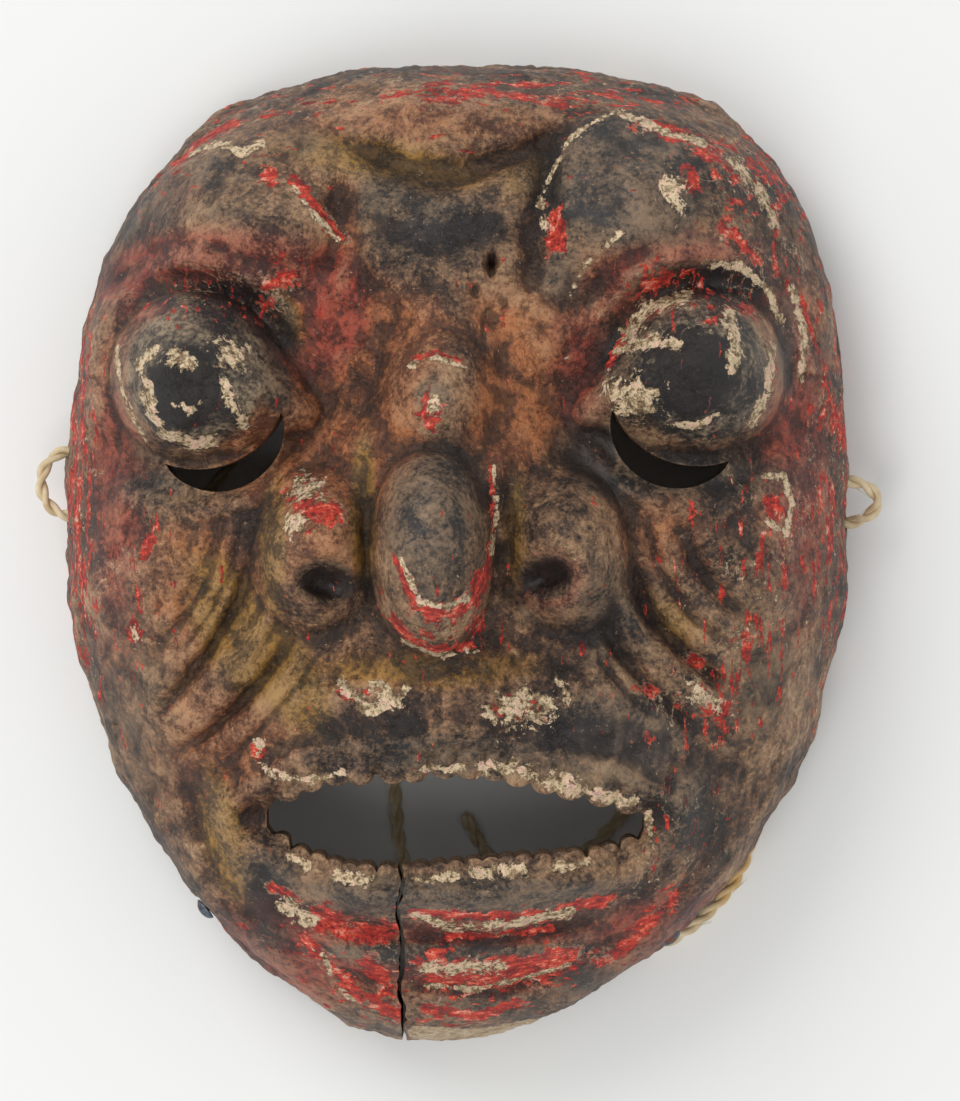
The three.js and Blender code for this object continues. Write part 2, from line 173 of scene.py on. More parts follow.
@dataclass(frozen=True)
class Mound:
    """A rounded form that stands on a foot height and rises to a top height."""

    oval: Oval
    foot: float
    top: float
    blend: float = 4
    fullness: float = 2.2
    edge: float = 0.9

    def height(self, x: np.ndarray, y: np.ndarray) -> np.ndarray:
        """Height of the form at each place, in mm."""
        d = self.oval.distance(x, y)
        rise = self.top - self.foot
        inside = self.foot + rise * np.maximum(1 - d**self.fullness, 0) ** self.edge
        return np.where(d < 1, inside, self.foot - rise * (d - 1))


class Grain:
    """Smooth seeded noise for the carver's unevenness, as a sum of plane waves."""

    def __init__(self, size: float, seed: int, waves: int = 24) -> None:
        """Draws the waves.

        Args:
            size: Typical size of a lump, in mm.
            seed: Seed of the draw.
            waves: How many plane waves are summed.
        """
        rng = np.random.default_rng(seed)
        turn = rng.uniform(0, 2 * np.pi, waves)
        tilt = rng.uniform(-1, 1, waves)
        pitch = 2 * np.pi / (size * rng.uniform(0.7, 1.8, waves))
        flat = np.sqrt(1 - tilt**2)
        self.k = np.stack([flat * np.cos(turn), flat * np.sin(turn), tilt], 1) * pitch[:, None]
        self.phase = rng.uniform(0, 2 * np.pi, waves)

    def at(self, x: np.ndarray, y: np.ndarray, z: np.ndarray) -> np.ndarray:
        """Noise at each place, mostly from -1 to 1."""
        total = np.zeros(np.shape(x))
        for (kx, ky, kz), phase in zip(self.k, self.phase):
            total += np.sin(kx * x + ky * y + kz * z + phase)
        return total / math.sqrt(len(self.phase))


# ---- The mask's form -------------------------------------------------------------------------


@dataclass
class Block:
    """The carved block: its outline, the section of its dome and the arch of its jaw, in mm."""

    width: float
    height: float
    dome: float = 61
    hollow_depth: float = 47
    rim_wall: float = 7
    crown_power_left: float = 2.75
    crown_power_right: float = 3.3
    jaw_power: float = 1.8
    section_power: float = 2.8
    chin_drift: float = -4
    arch_rise: float = 5
    arch_from: float = -84
    arch_to: float = -12
    middle_fineness: float = 0.3

    def radius(self, angle: np.ndarray, inset: float = 0) -> np.ndarray:
        """Distance from the origin to the outline in each direction, less an inset."""
        right = np.cos(angle) >= 0
        crown = np.where(right, self.crown_power_right, self.crown_power_left)
        power = np.where(np.sin(angle) >= 0, crown, self.jaw_power)
        across = np.abs(np.cos(angle) / (self.width / 2)) ** power
        along = np.abs(np.sin(angle) / (self.height / 2)) ** power
        return (across + along) ** (-1 / power) - inset

    def rim(self, angle: np.ndarray) -> np.ndarray:
        """Height of the rim above the table in each direction."""
        degrees = np.degrees(angle)
        mirrored = np.where(degrees < -90, -180 - degrees, degrees)
        share = (mirrored - self.arch_from) / (self.arch_to - self.arch_from)
        return self.arch_rise * np.sin(np.pi * np.clip(share, 0, 1))

    def drift(self, y: np.ndarray) -> np.ndarray:
        """Sideways lean of the chin."""
        return self.chin_drift * np.maximum(0, -y / (self.height / 2)) ** 6

    def skin(self, u: np.ndarray, v: np.ndarray, inset: float, dome: float) -> tuple:
        """A plain skin of the block, wrapped from a square onto the disc of the outline.

        Args:
            u: Places across the square, -1 to 1.
            v: Places up the square.
            inset: How far the skin's edge lies inside the outline.
            dome: Height of the skin's middle.

        Returns:
            x, y, z and how far up the wall each place is, from 0 at the rim to 1 at the front.
        """
        dx = u * np.sqrt(1 - v * v / 2)
        dy = v * np.sqrt(1 - u * u / 2)
        angle = np.arctan2(dy, dx)
        share = np.minimum(np.hypot(dx, dy), 1)
        swing = np.pi / 2 * share * (1 - self.middle_fineness * (1 - share**2))
        p = self.section_power
        reach = (np.sin(swing) ** p + np.abs(np.cos(swing)) ** p) ** (-1 / p)
        radius = reach * np.sin(swing) * self.radius(angle, inset)
        rise = np.maximum(reach * np.cos(swing), 0)
        y = radius * np.sin(angle)
        x = radius * np.cos(angle) + self.drift(y)
        rim = self.rim(angle)
        return x, y, rim + rise * (dome - rim), rise

    def wall_x(self, y: float, z: float, inset: float = 0, dome: float | None = None) -> float:
        """Distance of a side wall from the middle plane at a height y and a depth z."""
        dome = self.dome if dome is None else dome
        p = self.section_power
        share = (1 - (z / dome) ** p) ** (1 / p)
        across = share * (self.width / 2 - inset)
        along = share * (self.height / 2 - inset)
        q = self.crown_power_left
        return across * (1 - abs(y / along) ** q) ** (1 / q)


@dataclass(frozen=True)
class Eye:
    """A pear-shaped eyeball and the sight slit under it, in mm and degrees."""

    side: int
    x: float
    y: float
    radius: float = 17.2
    foot: float = 47
    top: float = 68
    slit_inner: float = 18.2
    slit_opening: float = 5.2
    slit_from: float = -110
    slit_to: float = -24

    def balls(self) -> list[Mound]:
        """The eyeball, drawn out towards the nose in smaller and lower balls."""
        taper = [(0, 1, 0), (0.42, 0.8, 1.5), (0.8, 0.58, 5), (1.15, 0.36, 9)]
        found = []
        for along, size, drop in taper:
            r = self.radius * size
            x = self.x - self.side * self.radius * along
            y = self.y - 0.36 * self.radius * along
            oval = Oval(x, y, r, r)
            found.append(Mound(oval, self.foot - 2, self.top - drop, 4, 2.0, 0.72))
        return found

    def height(self, x: np.ndarray, y: np.ndarray) -> np.ndarray:
        """Height of the eyeball at each place."""
        z = np.full(np.shape(x), -99.0)
        for ball in self.balls():
            z = smooth_max(z, ball.height(x, y), ball.blend)
        return z

    def polar(self, x: np.ndarray, y: np.ndarray) -> tuple[np.ndarray, np.ndarray]:
        """Distance from the eyeball's middle, and the angle from the side of the nose."""
        dx = -self.side * (x - self.x)
        dy = y - self.y
        return np.hypot(dx, dy), np.degrees(np.arctan2(dy, dx))

    def slit_outline(self) -> list[tuple[float, float]]:
        """The crescent of the sight slit, in order round it."""
        steps = 22

        def at(share: float, radius: float) -> tuple[float, float]:
            """A point at a share of the crescent's sweep."""
            angle = math.radians(self.slit_from + (self.slit_to - self.slit_from) * share)
            return self.x - self.side * radius * math.cos(angle), self.y + radius * math.sin(angle)

        inner = [at(k / steps, self.slit_inner) for k in range(steps + 1)]
        outer = []
        for k in range(steps - 1, 0, -1):
            width = self.slit_opening * math.sin(math.pi * k / steps) ** 0.8
            outer.append(at(k / steps, self.slit_inner + width))
        return inner + outer


@dataclass
class Mouth:
    """The open mouth with beads along both lips, in mm."""

    upper_edge: Points = (
        (-37.2, -51.2), (-34.8, -48.0), (-31, -45.6), (-24, -43.7), (-11, -43.1), (-1, -42.0),
        (8, -42.6), (16, -44.8), (25, -47.0), (32, -48.6), (36.6, -51.6),
    )
    lower_edge: Points = (
        (-37.2, -51.2), (-35.0, -54.2), (-31, -57.0), (-22, -60.0), (-11, -60.4), (-1, -59.4),
        (12, -58.4), (25, -57.4), (32, -56.2), (35.4, -54.2), (36.6, -51.6),
    )
    upper_beads: int = 14
    lower_beads: int = 21

    def edge_y(self, x: np.ndarray, edge: Points) -> np.ndarray:
        """Height of a lip's edge over each place across."""
        return np.interp(x, *np.array(edge).T)

    def beads(self, edge: Points, side: int, count: int, seed: int) -> list[tuple[float, float, float]]:
        """Middle and radius of each bead along a lip, each a little unlike the next."""
        rng = np.random.default_rng(seed)
        left, right = edge[0][0] + 1.5, edge[-1][0] - 1.5
        pitch = (right - left) / count
        found = []
        for k in range(count):
            radius = pitch * rng.uniform(0.5, 0.6)
            x = left + pitch * (k + 0.5 + rng.uniform(-0.12, 0.12))
            found.append((x, float(self.edge_y(x, edge)) + side * radius * 0.45, radius))
        return found

    def upper(self) -> list[tuple[float, float, float]]:
        """The beads of the upper lip."""
        return self.beads(self.upper_edge, 1, self.upper_beads, 5)

    def lower(self) -> list[tuple[float, float, float]]:
        """The beads of the lower lip."""
        return self.beads(self.lower_edge, -1, self.lower_beads, 9)

    def outline(self) -> list[tuple[float, float]]:
        """The opening between the beads, in order round it."""
        low = self.scalloped(self.lower_edge, self.lower(), -1)
        return low + self.scalloped(self.upper_edge, self.upper(), 1)[::-1]

    def scalloped(self, edge: Points, beads: Sequence, side: int) -> list[tuple[float, float]]:
        """One edge of the opening, stepping in round each bead."""
        found = []
        for x in np.linspace(edge[0][0], edge[-1][0], 190)[1:-1]:
            y = float(self.edge_y(x, edge)) + side * 1.0
            for bx, by, r in beads:
                if abs(x - bx) < r:
                    reach = by - side * math.sqrt(r * r - (x - bx) ** 2) * 0.8
                    y = min(y, reach) if side > 0 else max(y, reach)
            found.append((float(x), y))
        return found


@dataclass
class Face:
    """Everything that is carved on the front of the block, in mm."""

    eyes: list[Eye] = field(default_factory=lambda: [Eye(-1, -50.2, 34.6), Eye(1, 46.6, 35.2)])
    mouth: Mouth = field(default_factory=Mouth)

    def forehead(self) -> list:
        """The furrowed forehead, the frown and the brows."""
        return [
            Swell(Oval(0, 88, 30, 10), 6),
            Stroke(
                [(-28, 85), (-19, 78.5), (-10, 75), (1, 74), (12, 77.5), (20, 82), (28, 88)], 2.4, -3.0, 0.3
            ),
            Stroke([(-24, 76), (-15, 69), (-3, 67), (9, 70), (17, 76)], 3.2, 2.4, 0.3),
            Stroke([(-20, 68), (-14, 62), (-4, 60.5), (6, 62), (13, 66)], 2.8, -1.4, 0.3),
            Stroke([(13, 66), (15, 58), (14, 49)], 2.6, -3.0, 0.3),
            Stroke([(-19, 64), (-19, 56), (-16, 48)], 2.6, -2.4, 0.3),
            Swell(Oval(-2, 54, 13, 10), 3.5),
            Swell(Oval(-44, 68, 24, 12, -18), 8.5),
            Swell(Oval(-52, 60, 26, 8, 8), 3.0),
            Swell(Oval(39, 70, 19, 15, 24), 9.0),
            Swell(Oval(45, 59, 25, 8, -8), 2.5),
            Stroke([(17, 84), (17.5, 76), (17, 66), (20, 56)], 2.8, -4.0, 0.3),
            Stroke([(-23, 74), (-23, 62), (-27, 50)], 3.2, -4.2, 0.3),
            Stroke([(-66, 56), (-50, 57), (-36, 51), (-30, 42)], 2.2, 1.6, 0.3),
            Stroke([(64, 56), (48, 58), (34, 53), (27, 44)], 2.2, 1.6, 0.3),
        ]

    def cheeks(self) -> list:
        """The folds beside the nose and mouth."""
        return [
            Swell(Oval(-60, 2, 15, 24), 4.5),
            Swell(Oval(58, 2, 15, 26), 4.5),
            Stroke([(-36, 12), (-39, 0), (-42, -9), (-48, -19), (-58, -32)], 1.7, -4.6, 0.2),
            Stroke([(-32, 8), (-34, -6), (-37, -14), (-43, -24), (-52, -36)], 2.04, 2.7, 0.3),
            Stroke([(-30, -14), (-37, -24), (-46, -33), (-56, -40)], 1.44, -3.3, 0.25),
            Stroke([(-28, -20), (-34, -29), (-44, -38)], 2.04, 1.9, 0.3),
            Stroke([(-44, 8), (-48, -4), (-54, -14), (-62, -22)], 1.87, -1.9, 0.3),
            Stroke([(31, 10), (33, -2), (37, -12), (45, -20), (54, -27)], 1.78, -4.4, 0.2),
            Stroke([(27, -10), (31, -19), (38, -27), (48, -35)], 1.53, -3.1, 0.25),
            Stroke([(29, 2), (32, -9), (37, -18), (47, -26)], 1.87, 2.5, 0.3),
            Stroke([(42, 8), (46, -2), (53, -10), (61, -15)], 1.87, -2.1, 0.3),
            Stroke([(-26, -18), (-31, -26), (-40, -36), (-46, -42)], 1.3, -1.6, 0.3),
            Stroke([(-40, 10), (-43, -2), (-47, -11), (-55, -22)], 1.2, -1.4, 0.3),
            Stroke([(-45, 2), (-52, -10), (-60, -17)], 1.1, 1.0, 0.3),
            Stroke([(36, 8), (39, -3), (45, -12), (56, -20)], 1.2, -1.5, 0.3),
            Stroke([(26, -18), (33, -27), (42, -34)], 1.3, -1.5, 0.3),
            Stroke([(-47, -40), (-45, -52), (-42, -62), (-36, -72)], 2.89, 2.7, 0.25),
            Stroke([(-52, -42), (-50, -54), (-45, -66)], 1.87, -2.3, 0.3),
            Stroke([(44, -38), (45, -52), (42, -64)], 2.72, 2.3, 0.3),
        ]

    def jaw(self) -> list:
        """The lips, the bands of the lower jaw and the chin."""
        return [
            Swell(Oval(0, -28, 36, 9), 5),
            Stroke([(-33, -61), (-14, -65.5), (5, -66), (32, -61)], 3.4, 2.6, 0.15),
            Stroke([(-34, -70), (-12, -73.6), (8, -74), (30, -70)], 1.8, -2.4, 0.2),
            Stroke([(-32, -75), (-10, -78.5), (8, -79), (28, -75)], 2.6, 1.6, 0.2),
            Stroke([(-26, -81), (-8, -84.5), (8, -84.8), (24, -81)], 1.8, -1.8, 0.2),
            Swell(Oval(0, -90, 22, 5), 1.5),
        ]

    def sockets(self) -> list:
        """The sunk ground round each eyeball, with its lids."""
        found = []
        for eye in self.eyes:
            found.append(Swell(Oval(eye.x, eye.y - 1, 25, 24), -9))
            found.append(Swell(Oval(eye.x - eye.side * 24, eye.y - 12, 9, 11), -5))
        return found

    def forms(self) -> list[Mound]:
        """The muzzle and the parts of the nose, from the base up."""
        return [
            Mound(Oval(0, -50, 50, 31), 40, 64, 6),
            Mound(Oval(-3, 2, 38, 33), 46, 66, 6),
            Mound(Oval(-3, 20, 14, 36), 54, 71, 6),
            Mound(Oval(-3, 12, 28, 28), 50, 72, 6),
            Mound(Oval(-26, 1, 13.5, 17.5, -14), 54, 77, 7, 2.0, 0.8),
            Mound(Oval(20.6, 1, 13.5, 17.5, 14), 54, 77, 7, 2.0, 0.8),
            Mound(Oval(-3.6, 27, 12, 17), 58, 77, 6, 2.0, 0.9),
            Mound(Oval(-4.7, 1.5, 12.4, 21), 64, 91, 2.4, 2.2, 0.66),
        ]

    def pits(self) -> list:
        """Nostrils, the drilled hole in the brow and the fine creases of the nose."""
        return [
            Swell(Oval(-25, -5.2, 4.9, 3.5, -12), -9.5),
            Swell(Oval(17.2, -4.4, 4.7, 3.4, 18), -9.5),
            Swell(Oval(6.8, 55.6, 0.9, 1.9), -6),
            Swell(Oval(3.6, 50.4, 1.0, 1.2), -1.6),
            Stroke([(-17.3, 22), (-17.8, 10), (-17.4, -4), (-16, -13)], 1.2, -1.6, 0.3),
            Stroke([(9.4, 20), (10.4, 8), (10, -4), (8, -13)], 1.2, -1.6, 0.3),
        ]

    def height(self, x: np.ndarray, y: np.ndarray, dome: np.ndarray) -> np.ndarray:
        """Height of the carved face over each place, before it meets the side walls.

        Args:
            x: Places across, in mm.
            y: Places up, in mm.
            dome: Height of the plain dome there.

        Returns:
            Heights in mm.
        """
        z = dome.copy()
        for tool in [*self.forehead(), *self.cheeks(), *self.sockets()]:
            z += tool.added(x, y)
        for form in self.forms():
            z = smooth_max(z, form.height(x, y), form.blend)
        for tool in self.jaw():
            z += tool.added(x, y)
        for eye in self.eyes:
            z = smooth_max(z, eye.height(x, y), 3.0)
            z += self.lid(x, y, eye)
        for tool in self.pits():
            z += tool.added(x, y)
        return self.rolled_lips(x, y, z)

    def lid(self, x: np.ndarray, y: np.ndarray, eye: Eye) -> np.ndarray:
        """A raised line round the eyeball, and the rolled edge under the sight slit."""
        r, angle = eye.polar(x, y)
        upper = smoothstep(angle, 5, 40) * 1.6 * np.exp(-(((r - eye.radius - 4.6) / 2.4) ** 2))
        lower = np.exp(-(((angle + 68) / 52) ** 4))
        rim = 2.4 * np.exp(-(((r - eye.slit_inner - eye.slit_opening - 2.6) / 2.4) ** 2))
        return upper + lower * rim

    def rolled_lips(self, x: np.ndarray, y: np.ndarray, z: np.ndarray) -> np.ndarray:
        """Rounds the lips over into the mouth and sets the beads along them."""
        mouth = self.mouth
        up = y - mouth.edge_y(x, mouth.upper_edge)
        low = mouth.edge_y(x, mouth.lower_edge) - y
        beyond = np.maximum(np.maximum(up, low), 0)
        aside = np.maximum(np.abs(x + 0.3) - 37, 0)
        near = np.hypot(beyond, aside)
        z = z - 3.4 * np.exp(-((near / 3.4) ** 2)) + 1.6 * np.exp(-(((near - 6.4) / 2.6) ** 2))
        raised = np.zeros(np.shape(x))
        for x0, y0, r in [*mouth.upper(), *mouth.lower()]:
            d = np.hypot(x - x0, y - y0) / (r * 1.05)
            raised = np.maximum(raised, 0.66 * r * np.maximum(1 - d * d, 0) ** 0.55)
        return z + raised


# ---- Mesh helpers ----------------------------------------------------------------------------


def deselect_all() -> None:
    """Leaves nothing selected."""
    for other in bpy.context.selected_objects:
        other.select_set(False)


def make_active(piece: bpy.types.Object) -> None:
    """Selects one piece alone."""
    deselect_all()
    piece.select_set(True)
    bpy.context.view_layer.objects.active = piece


def read_points(piece: bpy.types.Object) -> np.ndarray:
    """The mesh's vertices, in metres, one row each."""
    co = np.zeros(len(piece.data.vertices) * 3)
    piece.data.vertices.foreach_get("co", co)
    return co.reshape(-1, 3)


def write_points(piece: bpy.types.Object, places: np.ndarray) -> None:
    """Moves the mesh's vertices."""
    piece.data.vertices.foreach_set("co", places.astype(np.float32).ravel())
    piece.data.update()


def write_field(piece: bpy.types.Object, name: str, values: np.ndarray) -> None:
    """Paints a number on each vertex."""
    layer = piece.data.attributes.new(name, "FLOAT", "POINT")
    layer.data.foreach_set("value", values.astype(np.float32))


def apply_modifiers(piece: bpy.types.Object) -> None:
    """Applies every modifier in order."""
    make_active(piece)
    for modifier in list(piece.modifiers):
        bpy.ops.object.modifier_apply(modifier=modifier.name)


def place_at_origin(piece: bpy.types.Object) -> None:
    """Moves the object's place into its mesh."""
    make_active(piece)
    bpy.ops.object.transform_apply(location=True, rotation=True, scale=True)


def point_outwards(piece: bpy.types.Object) -> None:
    """Recalculates the normals of a closed mesh."""
    make_active(piece)
    bpy.ops.object.mode_set(mode="EDIT")
    bpy.ops.mesh.select_all(action="SELECT")
    bpy.ops.mesh.normals_make_consistent(inside=False)
    bpy.ops.object.mode_set(mode="OBJECT")


def set_finish(piece: bpy.types.Object, finish: bpy.types.Material) -> None:
    """Gives the whole piece one material."""
    piece.data.materials.clear()
    piece.data.materials.append(finish)
    piece.data.polygons.foreach_set("material_index", np.zeros(len(piece.data.polygons), np.int32))


def join_pieces(parts: Sequence[bpy.types.Object]) -> bpy.types.Object:
    """Joins some pieces into the first of them."""
    make_active(parts[0])
    for part in parts:
        part.select_set(True)
    bpy.ops.object.join()
    return parts[0]


def prism_cutter(name: str, outline: Sequence, low: float, high: float) -> bpy.types.Object:
    """An upright cutter with an outline, made from a circle pushed to shape and extruded.

    Args:
        name: Name of the cutter.
        outline: Its corners in order round it, in mm.
        low: Height of its foot, in mm.
        high: Height of its top, in mm.

    Returns:
        The closed cutter.
    """
    deselect_all()
    bpy.ops.mesh.primitive_circle_add(vertices=len(outline), fill_type="NGON", location=(0, 0, 0))
    cutter = bpy.context.object
    cutter.name = name
    corners = [(x * MM, y * MM, low * MM) for x, y in outline]
    write_points(cutter, np.array(corners))
    bpy.ops.object.mode_set(mode="EDIT")
    bpy.ops.mesh.select_all(action="SELECT")
    lift = {"value": (0, 0, (high - low) * MM)}
    bpy.ops.mesh.extrude_region_move(TRANSFORM_OT_translate=lift)
    bpy.ops.object.mode_set(mode="OBJECT")
    point_outwards(cutter)
    return cutter


def cut_away(piece: bpy.types.Object, cutters: Sequence[bpy.types.Object]) -> None:
    """Cuts each cutter out of a piece and removes it."""
    for cutter in cutters:
        modifier = piece.modifiers.new(cutter.name, "BOOLEAN")
        modifier.operation = "DIFFERENCE"
        modifier.solver = "MANIFOLD"
        modifier.object = cutter
    apply_modifiers(piece)
    for cutter in cutters:
        bpy.data.objects.remove(cutter)


# ---- The shell -------------------------------------------------------------------------------


@dataclass
class MaskShell:
    """The carved wooden shell, with its hollow, mouth, sight slits, cord holes and crack."""

    block: Block
    face: Face = field(default_factory=Face)
    outer_cells: int = 286
    inner_cells: int = 92
    crack_x: float = -10.8
    crack_gap: float = 1.1
    hole_radius: float = 1.8
    drill_length: float = 30
    cut_low: float = -20
    cut_high: float = 120
    holes: Sequence = ((-1, 20.6, 14), (-1, 7.6, 14), (1, 14.5, 17), (1, 6.2, 11))

    def skin_grid(self, name: str, cells: int) -> bpy.types.Object:
        """A square sheet of cells, ready to be wrapped onto the block."""
        deselect_all()
        bpy.ops.mesh.primitive_grid_add(x_subdivisions=cells, y_subdivisions=cells, size=2)
        bpy.context.object.name = name
        return bpy.context.object

    def outer_places(self, flat: np.ndarray) -> np.ndarray:
        """Where each point of the square sheet goes on the carved front."""
        block = self.block
        x, y, z, rise = block.skin(flat[:, 0], flat[:, 1], 0, block.dome)
        carved = self.face.height(x, y, z)
        blend = smoothstep(rise, 0.2, 0.62)
        z = z + blend * (carved - z)
        lumps = 0.55 * Grain(17, 1).at(x, y, z) + 0.22 * Grain(6, 2).at(x, y, z)
        tool_marks = 0.13 * Grain(2.6, 3).at(x, y * 0.45, z) + 0.07 * Grain(1.6, 4).at(x, y, z)
        worn = (lumps + tool_marks) * smoothstep(rise, 0.02, 0.16)
        middle = np.hypot(x, y) + 1e-6
        outward = 1 - blend
        x = x + worn * outward * x / middle
        y = y + worn * outward * y / middle
        return np.stack([x, y, z + worn * (0.35 + 0.65 * blend)], 1) * MM

    def inner_places(self, flat: np.ndarray) -> np.ndarray:
        """Where each point of the square sheet goes on the gouged hollow."""
        block = self.block
        x, y, z, rise = block.skin(flat[:, 0], flat[:, 1], block.rim_wall, block.hollow_depth)
        z = z + smoothstep(rise, 0.2, 0.62) * Swell(Oval(-4, 2, 17, 22), 11).added(x, y)
        gouges = 0.45 * Grain(9, 7).at(x, y, z) * smoothstep(rise, 0.02, 0.2)
        return np.stack([x, y, z + gouges], 1) * MM

    def closed_skins(self) -> bpy.types.Object:
        """Both skins, joined by a flat rim."""
        outer = self.skin_grid("mask_carving", self.outer_cells)
        write_points(outer, self.outer_places(read_points(outer)))
        inner = self.skin_grid("mask_hollow", self.inner_cells)
        write_points(inner, self.inner_places(read_points(inner)))
        inner.data.flip_normals()
        join_pieces([outer, inner])
        bpy.ops.object.mode_set(mode="EDIT")
        bpy.ops.mesh.select_mode(type="EDGE")
        bpy.ops.mesh.select_all(action="DESELECT")
        bpy.ops.mesh.select_non_manifold()
        bpy.ops.mesh.bridge_edge_loops()
        bpy.ops.mesh.select_all(action="SELECT")
        bpy.ops.mesh.quads_convert_to_tris()
        bpy.ops.object.mode_set(mode="OBJECT")
        point_outwards(outer)
        return outer

    def crack_outline(self) -> list[tuple[float, float]]:
        """The drying crack, from inside the mouth to beyond the chin's edge."""
        wander = Grain(9, 21, 8)
        fine = Grain(2.4, 22, 8)
        ys = np.linspace(-54, -112, 60)
        x = self.crack_x + 0.38 * wander.at(ys, ys * 0, ys * 0) + 0.16 * fine.at(ys, ys * 0, ys * 0)
        gap = self.crack_gap * (0.8 + 0.28 * fine.at(ys * 0, ys, ys * 0))
        left = list(zip(x - gap / 2, ys))
        right = list(zip(x + gap / 2, ys))
        return left + right[::-1]

    def hole_cutter(self, side: int, y: float, z: float) -> bpy.types.Object:
        """A drill straight through one side wall."""
        wall = self.block.wall_x(y, z)
        deselect_all()
        bpy.ops.mesh.primitive_cylinder_add(
            vertices=28,
            radius=self.hole_radius * MM,
            depth=self.drill_length * MM,
            location=(side * (wall - 4) * MM, y * MM, z * MM),
            rotation=(0, math.pi / 2, 0),
        )
        drill = bpy.context.object
        drill.name = "drill"
        place_at_origin(drill)
        return drill

    def build(self) -> bpy.types.Object:
        """Carves the shell and cuts its openings."""
        shell = self.closed_skins()
        outlines = [("mouth_cutter", self.face.mouth.outline()), ("crack_cutter", self.crack_outline())]
        outlines += [("slit_cutter", eye.slit_outline()) for eye in self.face.eyes]
        cutters = [prism_cutter(name, outline, self.cut_low, self.cut_high) for name, outline in outlines]
        cutters += [self.hole_cutter(*hole) for hole in self.holes]
        cut_away(shell, cutters)
        shell.name = "carved_mask"
        make_active(shell)
        bpy.ops.object.shade_smooth_by_angle(angle=CARVED_EDGE)
        return shell


# ---- Shader building -------------------------------------------------------------------------


class Shader:
    """A material under construction, read in Object coordinates."""

    def __init__(self, name: str) -> None:
        """Starts an empty material.

        Args:
            name: Name of the material.
        """
        self.material = bpy.data.materials.new(name)
        self.material.use_nodes = True
        self.tree = self.material.node_tree
        self.tree.nodes.clear()
        self.bsdf = self.node("ShaderNodeBsdfPrincipled")
        self.output = self.node("ShaderNodeOutputMaterial", links={"Surface": self.bsdf.outputs["BSDF"]})
        self.place = self.node("ShaderNodeTexCoord").outputs["Object"]

    def node(self, kind: str, settings: dict | None = None, links: dict | None = None) -> bpy.types.Node:
        """Adds a node.

        Args:
            kind: The node's type.
            settings: Its own settings, by name.
            links: Its inputs, by name or index, as a plain value, a socket or a Number.

        Returns:
            The node.
        """
        made = self.tree.nodes.new(kind)
        for name, value in (settings or {}).items():
            setattr(made, name, value)
        for name, value in (links or {}).items():
            socket = made.inputs[name]
            source = value.socket if isinstance(value, Number) else value
            if isinstance(source, bpy.types.NodeSocket):
                self.tree.links.new(source, socket)
            else:
                socket.default_value = source
        return made

    def painted(self, name: str) -> "Number":
        """A number that was painted on the vertices."""
        made = self.node("ShaderNodeAttribute", {"attribute_name": name})
        return Number(self, made.outputs["Fac"])

    def noise(
        self,
        size: float,
        detail: float,
        rough: float,
        seed: int,
        stretch: tuple[float, float, float] = (1, 1, 1),
        warp: float = 0.0,
    ) -> "Number":
        """Noise from 0 to 1 with lumps of a size.

        Args:
            size: Size of a lump, in mm.
            detail: How many finer layers it has.
            rough: How strong the finer layers are.
            seed: Which draw of the noise it is.
            stretch: How much finer it is along each axis.
            warp: How far it is twisted.

        Returns:
            The noise.
        """
        scale = tuple(share / (size * MM) for share in stretch)
        links = {"Vector": self.place, "Scale": scale, "Location": (seed * 3.7, seed * 1.3, seed * 7.1)}
        spot = self.node("ShaderNodeMapping", links=links).outputs["Vector"]
        links = {"Vector": spot, "Scale": 1.0, "Detail": detail, "Roughness": rough}
        made = self.node("ShaderNodeTexNoise", links=links | {"Distortion": warp})
        return Number(self, made.outputs["Fac"])

    def blend(self, share: "Number", low: object, high: object) -> bpy.types.NodeSocket:
        """A colour between two, where either is a colour or a colour socket."""
        settings = {"data_type": "RGBA", "clamp_factor": True}
        made = self.node("ShaderNodeMix", settings, {0: share, 6: low, 7: high})
        return made.outputs[2]

    def ramp(self, share: "Number", stops: Sequence[tuple[float, Colour]]) -> bpy.types.NodeSocket:
        """A colour from a ramp of stops."""
        made = self.node("ShaderNodeValToRGB", links={"Fac": share})
        elements = made.color_ramp.elements
        while len(elements) < len(stops):
            elements.new(0.5)
        for element, (place, colour) in zip(elements, stops):
            element.position = place
            element.color = colour
        return made.outputs["Color"]

    def raise_by(self, height: "Number") -> None:
        """Bumps the surface by a height in mm."""
        made = self.node("ShaderNodeBump", links={"Strength": 1.0, "Distance": 1.0, "Height": height * MM})
        self.tree.links.new(made.outputs["Normal"], self.bsdf.inputs["Normal"])

    def feed(self, name: str, source: object) -> None:
        """Feeds one input of the surface shader."""
        socket = self.bsdf.inputs[name]
        source = source.socket if isinstance(source, Number) else source
        if isinstance(source, bpy.types.NodeSocket):
            self.tree.links.new(source, socket)
        else:
            socket.default_value = source


